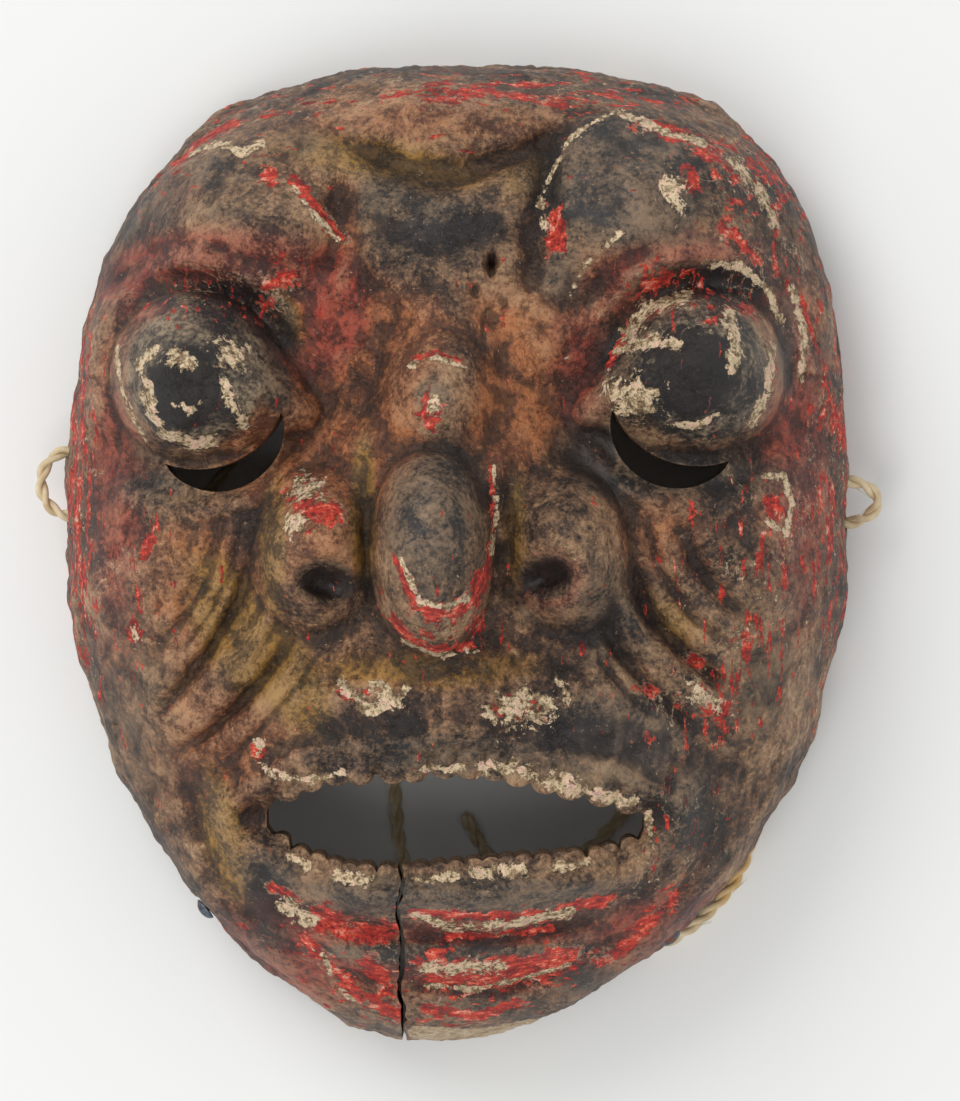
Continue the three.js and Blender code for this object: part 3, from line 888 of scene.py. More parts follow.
class Number:
    """One number in a shader, which takes ordinary arithmetic."""

    def __init__(self, shader: Shader, socket: bpy.types.NodeSocket) -> None:
        """Wraps a socket.

        Args:
            shader: The material that it belongs to.
            socket: The socket that gives the number.
        """
        self.shader = shader
        self.socket = socket

    def maths(self, operation: str, *terms: object) -> "Number":
        """The result of a maths node on some terms."""
        links = dict(enumerate(terms))
        made = self.shader.node("ShaderNodeMath", {"operation": operation}, links)
        return Number(self.shader, made.outputs[0])

    def __add__(self, other: object) -> "Number":
        """Sum."""
        return self.maths("ADD", self, other)

    def __radd__(self, other: object) -> "Number":
        """Sum, with the plain number first."""
        return self.maths("ADD", other, self)

    def __sub__(self, other: object) -> "Number":
        """Difference."""
        return self.maths("SUBTRACT", self, other)

    def __rsub__(self, other: object) -> "Number":
        """Difference, with the plain number first."""
        return self.maths("SUBTRACT", other, self)

    def __mul__(self, other: object) -> "Number":
        """Product."""
        return self.maths("MULTIPLY", self, other)

    def __rmul__(self, other: object) -> "Number":
        """Product, with the plain number first."""
        return self.maths("MULTIPLY", other, self)

    def __truediv__(self, other: object) -> "Number":
        """Quotient."""
        return self.maths("DIVIDE", self, other)

    def __rtruediv__(self, other: object) -> "Number":
        """Quotient, with the plain number first."""
        return self.maths("DIVIDE", other, self)

    def __or__(self, other: object) -> "Number":
        """The larger."""
        return self.maths("MAXIMUM", self, other)

    def __ror__(self, other: object) -> "Number":
        """The larger, with the plain number first."""
        return self.maths("MAXIMUM", other, self)

    def __and__(self, other: object) -> "Number":
        """The smaller."""
        return self.maths("MINIMUM", self, other)

    def __rand__(self, other: object) -> "Number":
        """The smaller, with the plain number first."""
        return self.maths("MINIMUM", other, self)

    def distance(self) -> "Number":
        """Size without its sign."""
        return self.maths("ABSOLUTE", self)

    def step(self, low: float, high: float) -> "Number":
        """0 at low, 1 at high and an S-curve between them."""
        settings = {"interpolation_type": "SMOOTHSTEP", "clamp": True}
        links = {"Value": self, "From Min": low, "From Max": high, "To Min": 0.0, "To Max": 1.0}
        made = self.shader.node("ShaderNodeMapRange", settings, links)
        return Number(self.shader, made.outputs["Result"])


@dataclass(frozen=True)
class LacquerColours:
    """The colours of the mask's worn finish, from the top coat down to the wood."""

    black: Colour = srgb(28, 21, 18)
    dark: Colour = srgb(58, 41, 32)
    brown: Colour = srgb(98, 68, 48)
    dusty: Colour = srgb(144, 106, 74)
    pale_dust: Colour = srgb(190, 156, 120)
    maroon_dark: Colour = srgb(78, 32, 25)
    maroon: Colour = srgb(168, 70, 52)
    warm_dark: Colour = srgb(98, 54, 32)
    warm: Colour = srgb(188, 116, 70)
    ochre_dark: Colour = srgb(84, 62, 34)
    ochre: Colour = srgb(172, 128, 56)
    slate: Colour = srgb(30, 28, 28)
    slate_light: Colour = srgb(60, 51, 46)
    ball_grey: Colour = srgb(84, 74, 63)
    ball_pale: Colour = srgb(150, 134, 108)
    red_dark: Colour = srgb(104, 26, 22)
    red: Colour = srgb(176, 42, 34)
    red_bright: Colour = srgb(228, 78, 50)
    pink: Colour = srgb(234, 178, 156)
    grime: Colour = srgb(92, 72, 54)
    cream_dark: Colour = srgb(146, 118, 84)
    cream: Colour = srgb(234, 213, 174)
    lilac: Colour = srgb(178, 160, 166)
    wood_dark: Colour = srgb(92, 66, 44)
    wood: Colour = srgb(150, 116, 82)
    fresh_wood: Colour = srgb(214, 194, 162)


@dataclass
class LacquerFinish:
    """The mask's finish: a grimy black-brown coat worn through to red, cream and wood."""

    colours: LacquerColours = field(default_factory=LacquerColours)
    shader: Shader | None = field(default=None, init=False)
    top_coat: Number | None = field(default=None, init=False)

    def material(self) -> bpy.types.Material:
        """Builds the material that reads the painted fields."""
        shader = Shader("worn_lacquer")
        self.shader = shader
        fine = shader.noise(1.0, 5, 0.75, 1)
        medium = shader.noise(5.2, 6, 0.66, 2, warp=0.5)
        broad = shader.noise(19, 4, 0.55, 3)
        coat = self.coat(fine, medium, broad)
        red, cream, edge = self.chips(fine, medium)
        colour = shader.blend(red, coat, self.red_layer(fine))
        ground = self.cream_layer(fine)
        colour = shader.blend(cream, colour, ground)
        colour = shader.blend(edge, colour, ground)
        bare = self.bare_wood(fine, medium)
        colour = shader.blend(bare, colour, self.wood_layer(fresh=True))
        hollow = shader.painted("hollow_side").step(0.3, 0.7)
        colour = shader.blend(hollow, colour, self.wood_layer(fresh=False))
        shader.feed("Base Color", colour)
        chipped = (red | cream | bare) * 0.8
        smooth = shader.painted("black").step(0.3, 0.9)
        rough = 0.54 - 0.14 * smooth + 0.5 * (fine - 0.5) + 0.22 * chipped
        shader.feed("Roughness", rough | 0.3)
        shader.feed("Specular IOR Level", 0.5)
        gouge = shader.noise(5, 2, 0.5, 12, stretch=(1, 0.25, 1))
        grit = shader.noise(0.55, 4, 0.7, 21)
        height = 0.42 * fine + 0.9 * medium + 0.1 * self.top_coat + 0.16 * grit
        height = height - 0.16 * red - 0.1 * cream + 0.14 * edge
        height = height * (1 - hollow) + hollow * (0.5 * gouge + 0.1 * fine)
        shader.raise_by(height * (1 - 0.55 * smooth))
        return shader.material

    def coat(self, fine: Number, medium: Number, broad: Number) -> bpy.types.NodeSocket:
        """The grimy top coat, tinted place by place, with painted shade in the creases and nostrils and
        painted highlights on the ridges and the nose.
        """
        shader, c = self.shader, self.colours
        self.top_coat = shader.noise(7.5, 9, 0.72, 22, warp=0.6).step(0.49, 0.53)
        tone = 0.57 + 1.3 * (broad - 0.5) + 1.1 * (medium - 0.5) + 1.5 * (fine - 0.5) - 0.15 * self.top_coat
        stops = [(0.08, c.black), (0.34, c.dark), (0.55, c.brown), (0.76, c.dusty), (0.98, c.pale_dust)]
        colour = shader.ramp(tone, stops)
        tone_step = tone.step(0.2, 0.85)
        patchy = 0.62 + 1.5 * (shader.noise(7, 4, 0.6, 4, warp=0.6) - 0.5)
        tints = [
            ("warm", c.warm_dark, c.warm),
            ("maroon", c.maroon_dark, c.maroon),
            ("ochre", c.ochre_dark, c.ochre),
            ("black", c.slate, c.slate_light),
        ]
        for name, low, high in tints:
            share = (shader.painted(name) * (patchy + 0.4)).step(0.12, 0.62)
            shade = shader.blend(tone_step, low, high)
            colour = shader.blend(share * 0.92, colour, shade)
        # Painted shade and grime: the wide creases of the carving are darkened towards black.
        crease_shade = shader.painted("wide_crease").step(0.1, 0.8)
        colour = shader.blend(crease_shade * 0.32, colour, c.black)
        pores = 1 - shader.noise(0.9, 3, 0.6, 18).step(0.27, 0.36)
        colour = shader.blend(pores * 0.7, colour, c.black)
        grit = shader.noise(0.7, 3, 0.65, 19).step(0.64, 0.7) * (medium + 0.1).step(0.35, 0.6)
        colour = shader.blend(grit * 0.55, colour, c.pale_dust)
        # Painted shade and grime: the fine creases are darkened towards black.
        fine_crease_shade = shader.painted("fine_crease_shade").step(0.15, 0.8)
        colour = shader.blend(fine_crease_shade * 0.55, colour, c.black)
        # Painted highlight: the ridges of the carving are lightened towards the pale dust colour.
        ridge_highlight = shader.painted("wide_crease").step(-0.05, -0.75) * 0.35
        colour = shader.blend(ridge_highlight * tone_step, colour, c.pale_dust)
        # Dust lightens the coat; the same field also holds a painted highlight on the nose.
        dust_and_sheen = (shader.painted("dust_and_sheen") + 1.4 * (medium - 0.55)).step(0.1, 0.7)
        colour = shader.blend(dust_and_sheen * 0.42, colour, c.pale_dust)
        ball = shader.painted("eyeball")
        ball_tone = tone + 0.9 * (shader.noise(2.6, 6, 0.7, 20) - 0.5)
        ball_shade = shader.ramp(ball_tone, [(0.3, c.slate), (0.52, c.ball_grey), (0.8, c.ball_pale)])
        colour = shader.blend(ball * 0.88, colour, ball_shade)
        pupil = (shader.painted("pupil") + 1.6 * (medium - 0.5)).step(-0.02, 0.08)
        return shader.blend(pupil * 0.95, colour, shader.blend(fine, c.black, c.slate))

    def chips(self, fine: Number, medium: Number) -> tuple[Number, Number, Number]:
        """Where the red and the cream show, and the broken edges round them."""
        shader = self.shader
        tear = shader.noise(4.2, 8, 0.72, 14, warp=0.5)
        ragged = 6.0 * (tear - 0.5) - 0.1
        upright = shader.noise(2.0, 6, 0.68, 5, stretch=(1.2, 0.22, 0.5), warp=0.3)
        level = shader.noise(2.2, 6, 0.68, 17, stretch=(0.3, 1.1, 0.6), warp=0.3)
        turned = shader.painted("level_streaks")
        streak = upright + turned * (level - upright)
        wear = shader.painted("wear")
        spread = streak + 0.17 * wear + 0.3 * (medium - 0.5) + 0.1 * (tear - 0.5)
        red_field = shader.painted("red_chips") + ragged
        red = red_field.step(0.0, 0.06) | spread.step(0.662, 0.674)
        shifted = shader.noise(3.4, 8, 0.74, 15, warp=0.5)
        cream_field = shader.painted("cream_chips") + 6.5 * (shifted - 0.5) - 0.15
        flecks = shader.noise(1.9, 6, 0.75, 6) + 0.09 * wear
        cream = cream_field.step(0.0, 0.08) | flecks.step(0.685, 0.70)
        patches = shader.noise(9, 3, 0.5, 16).step(0.46, 0.6)
        band = shader.noise(13, 6, 0.6, 7, warp=0.5)
        crackle = 1 - ((band - 0.52).distance() * 70).step(0.2, 0.75)
        crackle = crackle * patches * (wear + 0.8 * (medium - 0.4)).step(0.1, 0.5)
        rim = (1 - (red_field.distance() * 5).step(0.2, 0.9)) * patches
        rim = rim | ((1 - ((spread - 0.656).distance() * 90).step(0.2, 0.9)) * patches * 0.6)
        edge = (rim * 0.8 | (crackle * 0.6)) * (fine - 0.3).step(0.05, 0.25)
        broken = (fine - 0.3).step(0.02, 0.16)
        return red * broken, cream * (0.35 + 0.65 * broken), edge

    def red_layer(self, fine: Number) -> bpy.types.NodeSocket:
        """The red under-coat, from dark to bright, with pink streaks."""
        shader, c = self.shader, self.colours
        tone = shader.noise(2.2, 4, 0.7, 9, stretch=(0.5, 1, 1))
        stops = [(0.32, c.red_dark), (0.48, c.red), (0.6, c.red_bright), (0.7, c.pink)]
        return shader.ramp(tone + 0.6 * (fine - 0.5), stops)

    def cream_layer(self, fine: Number) -> bpy.types.NodeSocket:
        """The cream ground, stained tan and lilac."""
        shader, c = self.shader, self.colours
        stops = [(0.3, c.grime), (0.42, c.cream_dark), (0.55, c.cream), (0.66, c.pink), (0.76, c.lilac)]
        return shader.ramp(shader.noise(3.4, 7, 0.75, 10) + 0.9 * (fine - 0.5), stops)

    def bare_wood(self, fine: Number, medium: Number) -> Number:
        """Where the wood itself shows."""
        return (self.shader.painted("bare_wood") + (medium - 0.5) + 0.5 * (fine - 0.5)).step(0.0, 0.12)

    def wood_layer(self, fresh: bool) -> bpy.types.NodeSocket:
        """Wood with its grain running up the mask."""
        shader, c = self.shader, self.colours
        grain = shader.noise(1.6, 4, 0.6, 11, stretch=(1, 0.06, 1), warp=0.5)
        tone = grain + 0.5 * (shader.noise(14, 3, 0.5, 13) - 0.5)
        low, high = (c.wood, c.fresh_wood) if fresh else (c.wood_dark, c.wood)
        return shader.ramp(tone, [(0.3, low), (0.68, high)])


# ---- Paint fields on the shell ---------------------------------------------------------------


class Layer(Enum):
    """The worn layers of the finish that patches lay bare."""

    RED = "red_chips"
    CREAM = "cream_chips"
    WOOD = "bare_wood"


@dataclass(frozen=True)
class Patch:
    """A place where a layer is laid bare, or a stroke of it where it has a path."""

    layer: Layer
    oval: Oval | None = None
    path: Points = ()
    width: float = 1.0

    def field(self, x: np.ndarray, y: np.ndarray) -> np.ndarray:
        """1 in the middle, 0 on the edge and below 0 outside."""
        if self.oval:
            return 1 - self.oval.distance(x, y)
        return 1 - path_distance(x, y, self.path)[0] / self.width


@dataclass(frozen=True)
class Tint:
    """A soft area of one colour of the top coat."""

    x: float
    y: float
    rx: float
    ry: float
    turn: float = 0
    strength: float = 1

    def field(self, x: np.ndarray, y: np.ndarray) -> np.ndarray:
        """Strength in the middle, fading to 0."""
        oval = Oval(self.x, self.y, self.rx, self.ry, self.turn)
        return self.strength * np.exp(-(oval.distance(x, y) ** 2))


@dataclass
class PaintMap:
    """Where each colour and each worn layer of the mask lies, in mm."""

    def patches(self, spots: dict[Layer, list], strokes: dict[Layer, list]) -> list[Patch]:
        """Patches from tables.

        Args:
            spots: For each layer, the ovals: x, y, both radii and the turn.
            strokes: For each layer, the strokes: the width and then the points.

        Returns:
            All the patches.
        """
        found = [Patch(layer, Oval(*row)) for layer, rows in spots.items() for row in rows]
        for layer, rows in strokes.items():
            found += [Patch(layer, path=path, width=width) for width, *path in rows]
        return found

    def chips(self) -> list[Patch]:
        """The larger chips, worn through to the red, the cream ground or the wood."""
        spots = {
            Layer.RED: [
                (-2, 89, 9, 1.8, 4), (14, 89, 8, 1.2, -6), (18.6, 62.5, 1.9, 4.6, 6), (45.4, 72.6, 2.2,
                2.6), (50.6, 73.6, 1.1, 1.2), (-36, 73, 1.5, 3.0, 20), (-25.6, 7.4, 3.4, 3.6), (-29.5,
                10.5, 3.0, 3.4), (-4.5, 26.5, 2.2, 3.0), (4.2, -13.6, 1.3, 2.6, -20), (61.5, 9.5, 1.8,
                2.4), (46.8, -21.6, 2.6, 1.4, -30), (50.5, -30.0, 3.0, 2.2), (36.4, -26.2, 2.8, 1.1, -10),
                (12, -29.6, 5.0, 2.2, 6), (-20, -26.6, 3.0, 1.4), (-38.4, -37.6, 1.2, 2.0), (-62.6, -15,
                1.2, 2.0), (-34, 52, 3.6, 4.4), (38, 52, 4.2, 2.0, 20),
            ],
            Layer.CREAM: [
                (41.8, 69.6, 1.9, 4.0, 6), (-28.6, 12.2, 3.2, 2.8, 20), (-31, 5.4, 2.0, 3.4, -20), (-4.4,
                28.4, 1.4, 2.2), (47.5, -27.5, 4.4, 1.8, -28), (13.4, -29.4, 7.4, 3.4, 6), (-15, -26.4,
                2.4, 2.0), (-38.4, -36.6, 1.3, 1.5), (-62.2, -16.6, 1.0, 1.8), (-30.4, -70.0, 4.4, 1.8,
                -34),
            ],
        }
        strokes = {
            Layer.RED: [
                (1.3, (-31, 72), (-28, 68), (-24.5, 63), (-22, 61)), (0.8, (-8, 37.0), (-4, 38.2), (1,
                36.4)), (0.6, (6.8, 16), (7.0, 6), (6.0, -2)), (0.8, (-11.6, 0), (-9.6, -5), (-7.6, -9)),
                (1.7, (-7.6, -9.6), (-4, -11), (0, -10.4), (3.4, -8), (5, -4)), (0.9, (-12, -12), (-9.6,
                -15.4), (-4, -18.2), (3, -17.6)), (1.0, (-60.4, -0.4), (-59, 3.4)), (2.6, (-26, -70.5),
                (-20, -72.4), (-13, -73.4)), (1.0, (-36, -64), (-30, -67.5)), (1.2, (-8, -68.8), (4,
                -69.6), (16, -69.6), (30, -66.6)), (0.9, (-2, -74), (8, -73.8), (18, -72.4)), (3.2, (-5,
                -80.6), (3, -82), (14, -81), (22, -78)), (1.7, (-30, -74), (-25, -81), (-19, -86), (-12,
                -90)), (1.9, (-17, -79), (-15, -83.6), (-13, -86)), (1.5, (28, -80), (36, -74), (42,
                -67)), (1.2, (-6, -89), (2, -90.6), (12, -88)), (1.2, (-56, 77), (-50, 82), (-44, 85)),
                (1.9, (36, 84), (44, 81), (50, 78.5)), (1.5, (52, 63), (56, 60), (59, 57)), (0.7, (61.6,
                60), (62.4, 54)),
            ],
            Layer.CREAM: [
                (0.9, (16.4, 68), (16.8, 63.5)), (0.4, (30, 86), (22, 81), (18, 73), (15.5, 67)), (0.6,
                (-31.6, 71), (-27, 65), (-23, 61)), (0.5, (-9, 35.8), (-4, 37.2), (2, 35.4)), (0.5, (7.2,
                17), (7.6, 8), (6.6, 0)), (0.6, (-10.4, -0.5), (-8, -6), (-6.6, -9.5)), (0.7, (-6, -9),
                (-2, -10), (2, -8.4)), (0.5, (-10, -16.4), (-4, -19.4), (4, -18.4)), (0.7, (59.5, 15),
                (63.5, 15.5), (65, 10), (64, 4), (60.5, 6)), (1.2, (-22, -24.6), (-17, -29.5), (-12, -29),
                (-10, -26)), (1.1, (-8, -69.4), (0, -72.2), (12, -71), (22, -69)), (1.4, (-6, -80.4), (2,
                -80.4), (8, -79.8)), (0.6, (-6, -84), (4, -85), (16, -82), (22, -80)), (0.6, (-26, -78),
                (-24, -84), (-20, -88)), (0.9, (-52, 79), (-46, 80.6), (-42, 78), (-38, 80)), (1.0, (32,
                86), (40, 82.6), (48, 80)), (1.3, (54, 77), (59, 71), (62, 65)), (0.9, (48, 56), (55, 56),
                (61, 51), (63, 45)), (0.5, (22, 50), (25, 56), (32, 62)), (0.9, (-38, -40.6), (-30,
                -43.8), (-22, -42)), (1.7, (5, -40.8), (14, -41.6)), (1.9, (17, -43.2), (24, -45.4)),
                (1.6, (27, -46.2), (34, -48.4)), (0.9, (-6, -41.4), (1, -40.8)), (1.0, (-32, -58.5), (-29,
                -60)), (1.1, (-23, -62), (-17, -62.4)), (0.9, (-8, -62.4), (0, -61.6)), (1.4, (3, -61.2),
                (12, -60.4)), (1.0, (19, -60), (25, -59.6)), (0.7, (37, -50), (37.4, -54)),
            ],
            Layer.WOOD: [
                (2.0, (-8, -94.5), (4, -95.6), (17, -93.4)),
            ],
        }
        return self.patches(spots, strokes)

    def eye_chips(self) -> list[Patch]:
        """The cream ground that shows on the eyeballs and round them."""
        spots = {
            Layer.CREAM: [
                (-52.6, 37.0, 2.4, 2.8, 24), (-43, 38, 3.0, 3.0), (34, 31, 5, 4),
            ],
        }
        strokes = {
            Layer.RED: [
                (0.8, (29, 36), (33, 43), (38, 48)), (0.6, (67, 50), (70.6, 40)),
            ],
            Layer.CREAM: [
                (1.2, (-59.4, 33), (-58.4, 27), (-55, 22.6), (-50, 21.2), (-46.6, 21.8)), (0.9, (-57.4,
                39.6), (-60.6, 36.6), (-60.4, 34)), (0.7, (-54, 28.6), (-51, 27.4), (-49, 28.6)), (1.2,
                (-44.6, 33), (-43, 29), (-41, 25.6)), (0.6, (-66, 40), (-64.4, 31), (-60, 22)), (1.5,
                (52.6, 46.6), (53.4, 41), (52.6, 35)), (0.7, (50, 27), (45.4, 24.6), (40, 25.4)), (1.6,
                (33, 42), (37, 47.5), (44, 49.5)), (1.2, (31, 39), (38, 41), (42, 40)), (0.9, (57, 25),
                (60, 32), (61, 40)), (0.9, (65.6, 52), (68, 44), (67.4, 34)),
            ],
        }
        return self.patches(spots, strokes)

    def tints(self) -> dict[str, list[Tint]]:
        """Soft areas of each top-coat colour, with painted shade at the nostrils among the black ones and a
        painted highlight on the nose among the dust ones.
        """
        areas = {
            "maroon": [
                (-48, 53, 20, 9, 0, 1.3), (-28, 47, 10, 12, 0, 1.3), (44, 53, 20, 9, 0, 0.9), (-58, 70,
                12, 9, 0, 0.35), (-66, 10, 8, 40, 0, 0.55), (24, 36, 7, 16, 0, 0.55), (18, -5, 7, 6, 0,
                0.7), (66, 20, 9, 40, 0, 0.6), (40, -74, 22, 10, 0, 0.6), (-34, -78, 18, 14, 0, 0.7), (0,
                -78, 40, 12, 0, 0.6),
            ],
            "warm": [
                (-20, 28, 12, 18, 20, 1.3), (-34, 18, 9, 9, 0, 1.3), (-14, 42, 12, 9, 0, 1.2), (12, 30, 9,
                14, -20, 1.1), (-26, 2, 12, 16, 0, 0.5), (-26, 50, 10, 14, 0, 0.5), (10, 44, 12, 10, 0,
                0.5), (-50, -8, 16, 20, 0, 0.55), (-46, -38, 16, 18, 0, 0.5), (40, 4, 14, 12, 0, 0.4),
                (-5, 84, 40, 8, 0, 0.45), (-22, 62, 5, 16, 0, 0.5), (-8, -22, 24, 5, 0, 0.5),
            ],
            "ochre": [
                (-43, -14, 7, 15, 28, 1.0), (-32, -24, 6, 12, 30, 0.9), (-17.6, 8, 2.4, 16, 0, 0.9),
                (11.4, 4, 2.2, 12, 0, 0.8), (-45, -55, 4, 14, 12, 0.9), (-6, -22, 24, 4, 0, 0.7), (-33,
                46, 4, 9, 20, 0.6), (-14, 76, 22, 5, -10, 0.7), (16, 74, 10, 5, 20, 0.5), (42, -13, 4, 10,
                40, 0.5), (-35, 2, 3, 16, 0, 0.7),
            ],
            # The two ovals of strength 1.8 at the nostrils are painted shade in the nostril pits; the other
            # black ovals are black lacquer.
            "black": [
                (-3, 63, 15, 7, 0, 0.8), (-60, 68, 12, 7, 30, 0.55), (-46, 74, 12, 6, 0, 0.5), (-30, 80,
                8, 5, 0, 0.4), (0, -65, 34, 3.4, 0, 1.0), (4, -88, 18, 4, 0, 0.5), (24, -84, 10, 6, 0,
                0.6), (-36, -74, 8, 8, 0, 0.5), (17.2, -4.4, 4.2, 3.4, 0, 1.8), (-25, -5.2, 4.4, 3.4, 0,
                1.8), (-38, 45, 6, 9, 35, 1.0), (-35, 34, 3.4, 8, 20, 0.9), (-50, 50, 12, 3, 0, 0.8), (48,
                52.5, 16, 4, 0, 1.0), (31, 38, 4, 9, -20, 0.7), (64, 40, 3, 12, 0, 0.7), (-58, 13, 10, 5,
                0, 0.6), (46, 15, 20, 5, 0, 0.7), (-4.6, 30, 3.4, 3.0, 0, 0.9), (-14, 68, 8, 8, 0, 0.6),
                (32, 72, 15, 12, 0, 1.4), (-4.6, 7, 8.5, 14, 0, 1.0), (-4.6, -9, 3.4, 6, 0, 0.8), (31,
                -36, 16, 12, 0, 0.9), (30, -13, 10, 14, 0, 0.6), (0, -39, 26, 5, 0, 0.7), (-46, 66, 16, 5,
                -10, 0.4), (0, -68, 30, 3, 0, 0.8), (0, -77.4, 34, 1.9, 0, 1.0), (29, 18, 10, 7, -30,
                0.9), (44, -48, 9, 12, 0, 0.7), (-36, -62, 8, 6, 0, 0.6), (62, -8, 8, 20, 0, 0.35), (20,
                54, 6, 8, 0, 0.6),
            ],
            # The first two ovals, on the nose, are a painted highlight; the rest is dust.
            "dust_and_sheen": [
                (-5.4, 6, 2.2, 8, 0, 0.3), (1, 2, 1.8, 6, 0, 0.2), (60, -24, 16, 26, 0, 0.5), (-62, -30,
                14, 26, 0, 0.5), (20, -42, 20, 4, 0, 0.6), (-22, -44, 18, 3, 0, 0.4), (-60, 34, 14, 30, 0,
                0.35), (14, -12, 10, 6, 0, 0.4),
            ],
            "wear": [
                (14, 91, 44, 5, 0, 1.0), (-40, 88, 24, 5, 0, 0.6), (-60, 76, 12, 12, 0, 0.55), (60, 74,
                14, 16, 0, 1.0), (-75, 10, 5, 62, 0, 1.1), (75, 20, 7, 62, 0, 1.0), (60, -10, 14, 26, 0,
                0.68), (50, -30, 12, 10, 0, 0.8), (-62, -6, 10, 20, 0, 0.35), (0, -86, 40, 12, 0, 0.5),
                (-22, -76, 16, 8, 0, 0.5), (42, -60, 14, 16, 0, 0.5), (0, -14, 12, 8, 0, 0.7), (-48, 50,
                18, 6, 0, 0.5), (50, 50, 18, 8, 0, 0.7),
            ],
        }
        return {name: [Tint(*row) for row in found] for name, found in areas.items()}

    def pupils(self, face: Face, x: np.ndarray, y: np.ndarray) -> np.ndarray:
        """The black of each eye, 1 in the middle and 0 on the edge."""
        found = np.full(np.shape(x), -1.0)
        for eye, dx, dy, r in zip(face.eyes, (-1.8, -2.2), (-2.6, -0.6), (7.6, 8.6)):
            found = np.maximum(found, 1 - np.hypot(x - eye.x - dx, (y - eye.y - dy) * 0.92) / r)
        return found

    def eye_whites(self, face: Face, x: np.ndarray, y: np.ndarray) -> np.ndarray:
        """The ball of each eye, 1 inside its lids."""
        found = np.zeros(np.shape(x))
        for eye in face.eyes:
            found = np.maximum(found, smoothstep(-eye.polar(x, y)[0], -14.6, -12.4))
        return found


def neighbour_means(piece: bpy.types.Object, values: np.ndarray, rounds: int) -> np.ndarray:
    """Averages a value, or a row of values, over each vertex's neighbours again and again."""
    pairs = np.zeros(len(piece.data.edges) * 2, np.int64)
    piece.data.edges.foreach_get("vertices", pairs)
    a, b = pairs.reshape(-1, 2).T
    count = np.bincount(np.concatenate([a, b]), minlength=len(values)).astype(float)
    count = np.maximum(count, 1)
    flat = values.reshape(len(values), -1).copy()
    for _ in range(rounds):
        columns = [np.bincount(a, c[b], len(c)) + np.bincount(b, c[a], len(c)) for c in flat.T]
        flat = 0.5 * flat + 0.5 * (np.stack(columns, 1) / count[:, None])
    return flat.reshape(values.shape)


@dataclass
class Painter:
    """Writes the paint fields onto the carved shell's vertices."""

    face: Face
    paint: PaintMap = field(default_factory=PaintMap)

    def apply(self, shell: bpy.types.Object) -> None:
        """Paints every field that the finish reads."""
        places = read_points(shell)
        x, y, z = (places / MM).T
        patches = self.paint.chips() + self.paint.eye_chips()
        for layer in Layer:
            found = np.full(len(x), -1.0)
            for patch in patches:
                if patch.layer is layer:
                    found = np.maximum(found, patch.field(x, y))
            write_field(shell, layer.value, np.where(z > 8, found, -1))
        for name, tints in self.paint.tints().items():
            found = np.zeros(len(x))
            for tint in tints:
                found = np.maximum(found, tint.field(x, y))
            write_field(shell, name, found)
        write_field(shell, "pupil", self.paint.pupils(self.face, x, y))
        write_field(shell, "eyeball", self.paint.eye_whites(self.face, x, y))
        write_field(shell, "level_streaks", smoothstep(np.abs(y), 54, 72))
        self.paint_form(shell, places)

    def paint_form(self, shell: bpy.types.Object, places: np.ndarray) -> None:
        """Fields that come from the form: creases and ridges, which the finish turns into painted shade and
        a painted highlight, and the hollow side.
        """
        normals = np.zeros(len(places) * 3, np.float32)
        shell.data.vertex_normals.foreach_get("vector", normals)
        normals = normals.reshape(-1, 3)
        for name, rounds, reach in (("fine_crease_shade", 6, 0.12), ("wide_crease", 60, 0.7)):
            drop = ((neighbour_means(shell, places, rounds) - places) * normals).sum(1)
            write_field(shell, name, np.clip(drop / (reach * MM), -1, 1))
        hollow = smoothstep(-normals[:, 2], 0.02, 0.12)
        write_field(shell, "hollow_side", neighbour_means(shell, hollow, 2))


# ---- The twine -------------------------------------------------------------------------------


@dataclass(frozen=True)
class Tie:
    """A bight of twine through two holes of one side wall: each hole's y and z, in mm."""

    side: int
    knot_hole: tuple[float, float]
    lead_hole: tuple[float, float]
    reach: float
    inside: float = 3.2

    def end(self, block: Block, hole: tuple[float, float]) -> tuple[float, float, float]:
        """Where the bight ends inside the wall at one hole."""
        wall = block.wall_x(*hole, block.rim_wall, block.hollow_depth)
        return self.side * (wall - self.inside), *hole

    def bight(self, block: Block) -> Points:
        """In through one hole, round outside the wall and back through the other."""
        (ya, za), (yb, zb) = self.knot_hole, self.lead_hole
        wall = max(block.wall_x(ya, za), block.wall_x(yb, zb))
        points = [self.end(block, self.knot_hole)]
        for k in range(11):
            swing = math.pi * k / 10
            out = wall + self.reach * math.sin(swing) - 0.5
            share = math.cos(swing) / 2
            y = (ya + yb) / 2 + (ya - yb) * share
            z = (za + zb) / 2 + (za - zb) * share
            points.append((self.side * out, y, z))
        return points + [self.end(block, self.lead_hole)]

    def lead_in(self, block: Block) -> list[tuple[float, float, float]]:
        """The straight start of the head cord, next to the end of the bight."""
        x, y, z = self.end(block, self.lead_hole)
        return [(x - self.side * 0.3, y, z), (x - self.side * 1.8, y, z)]


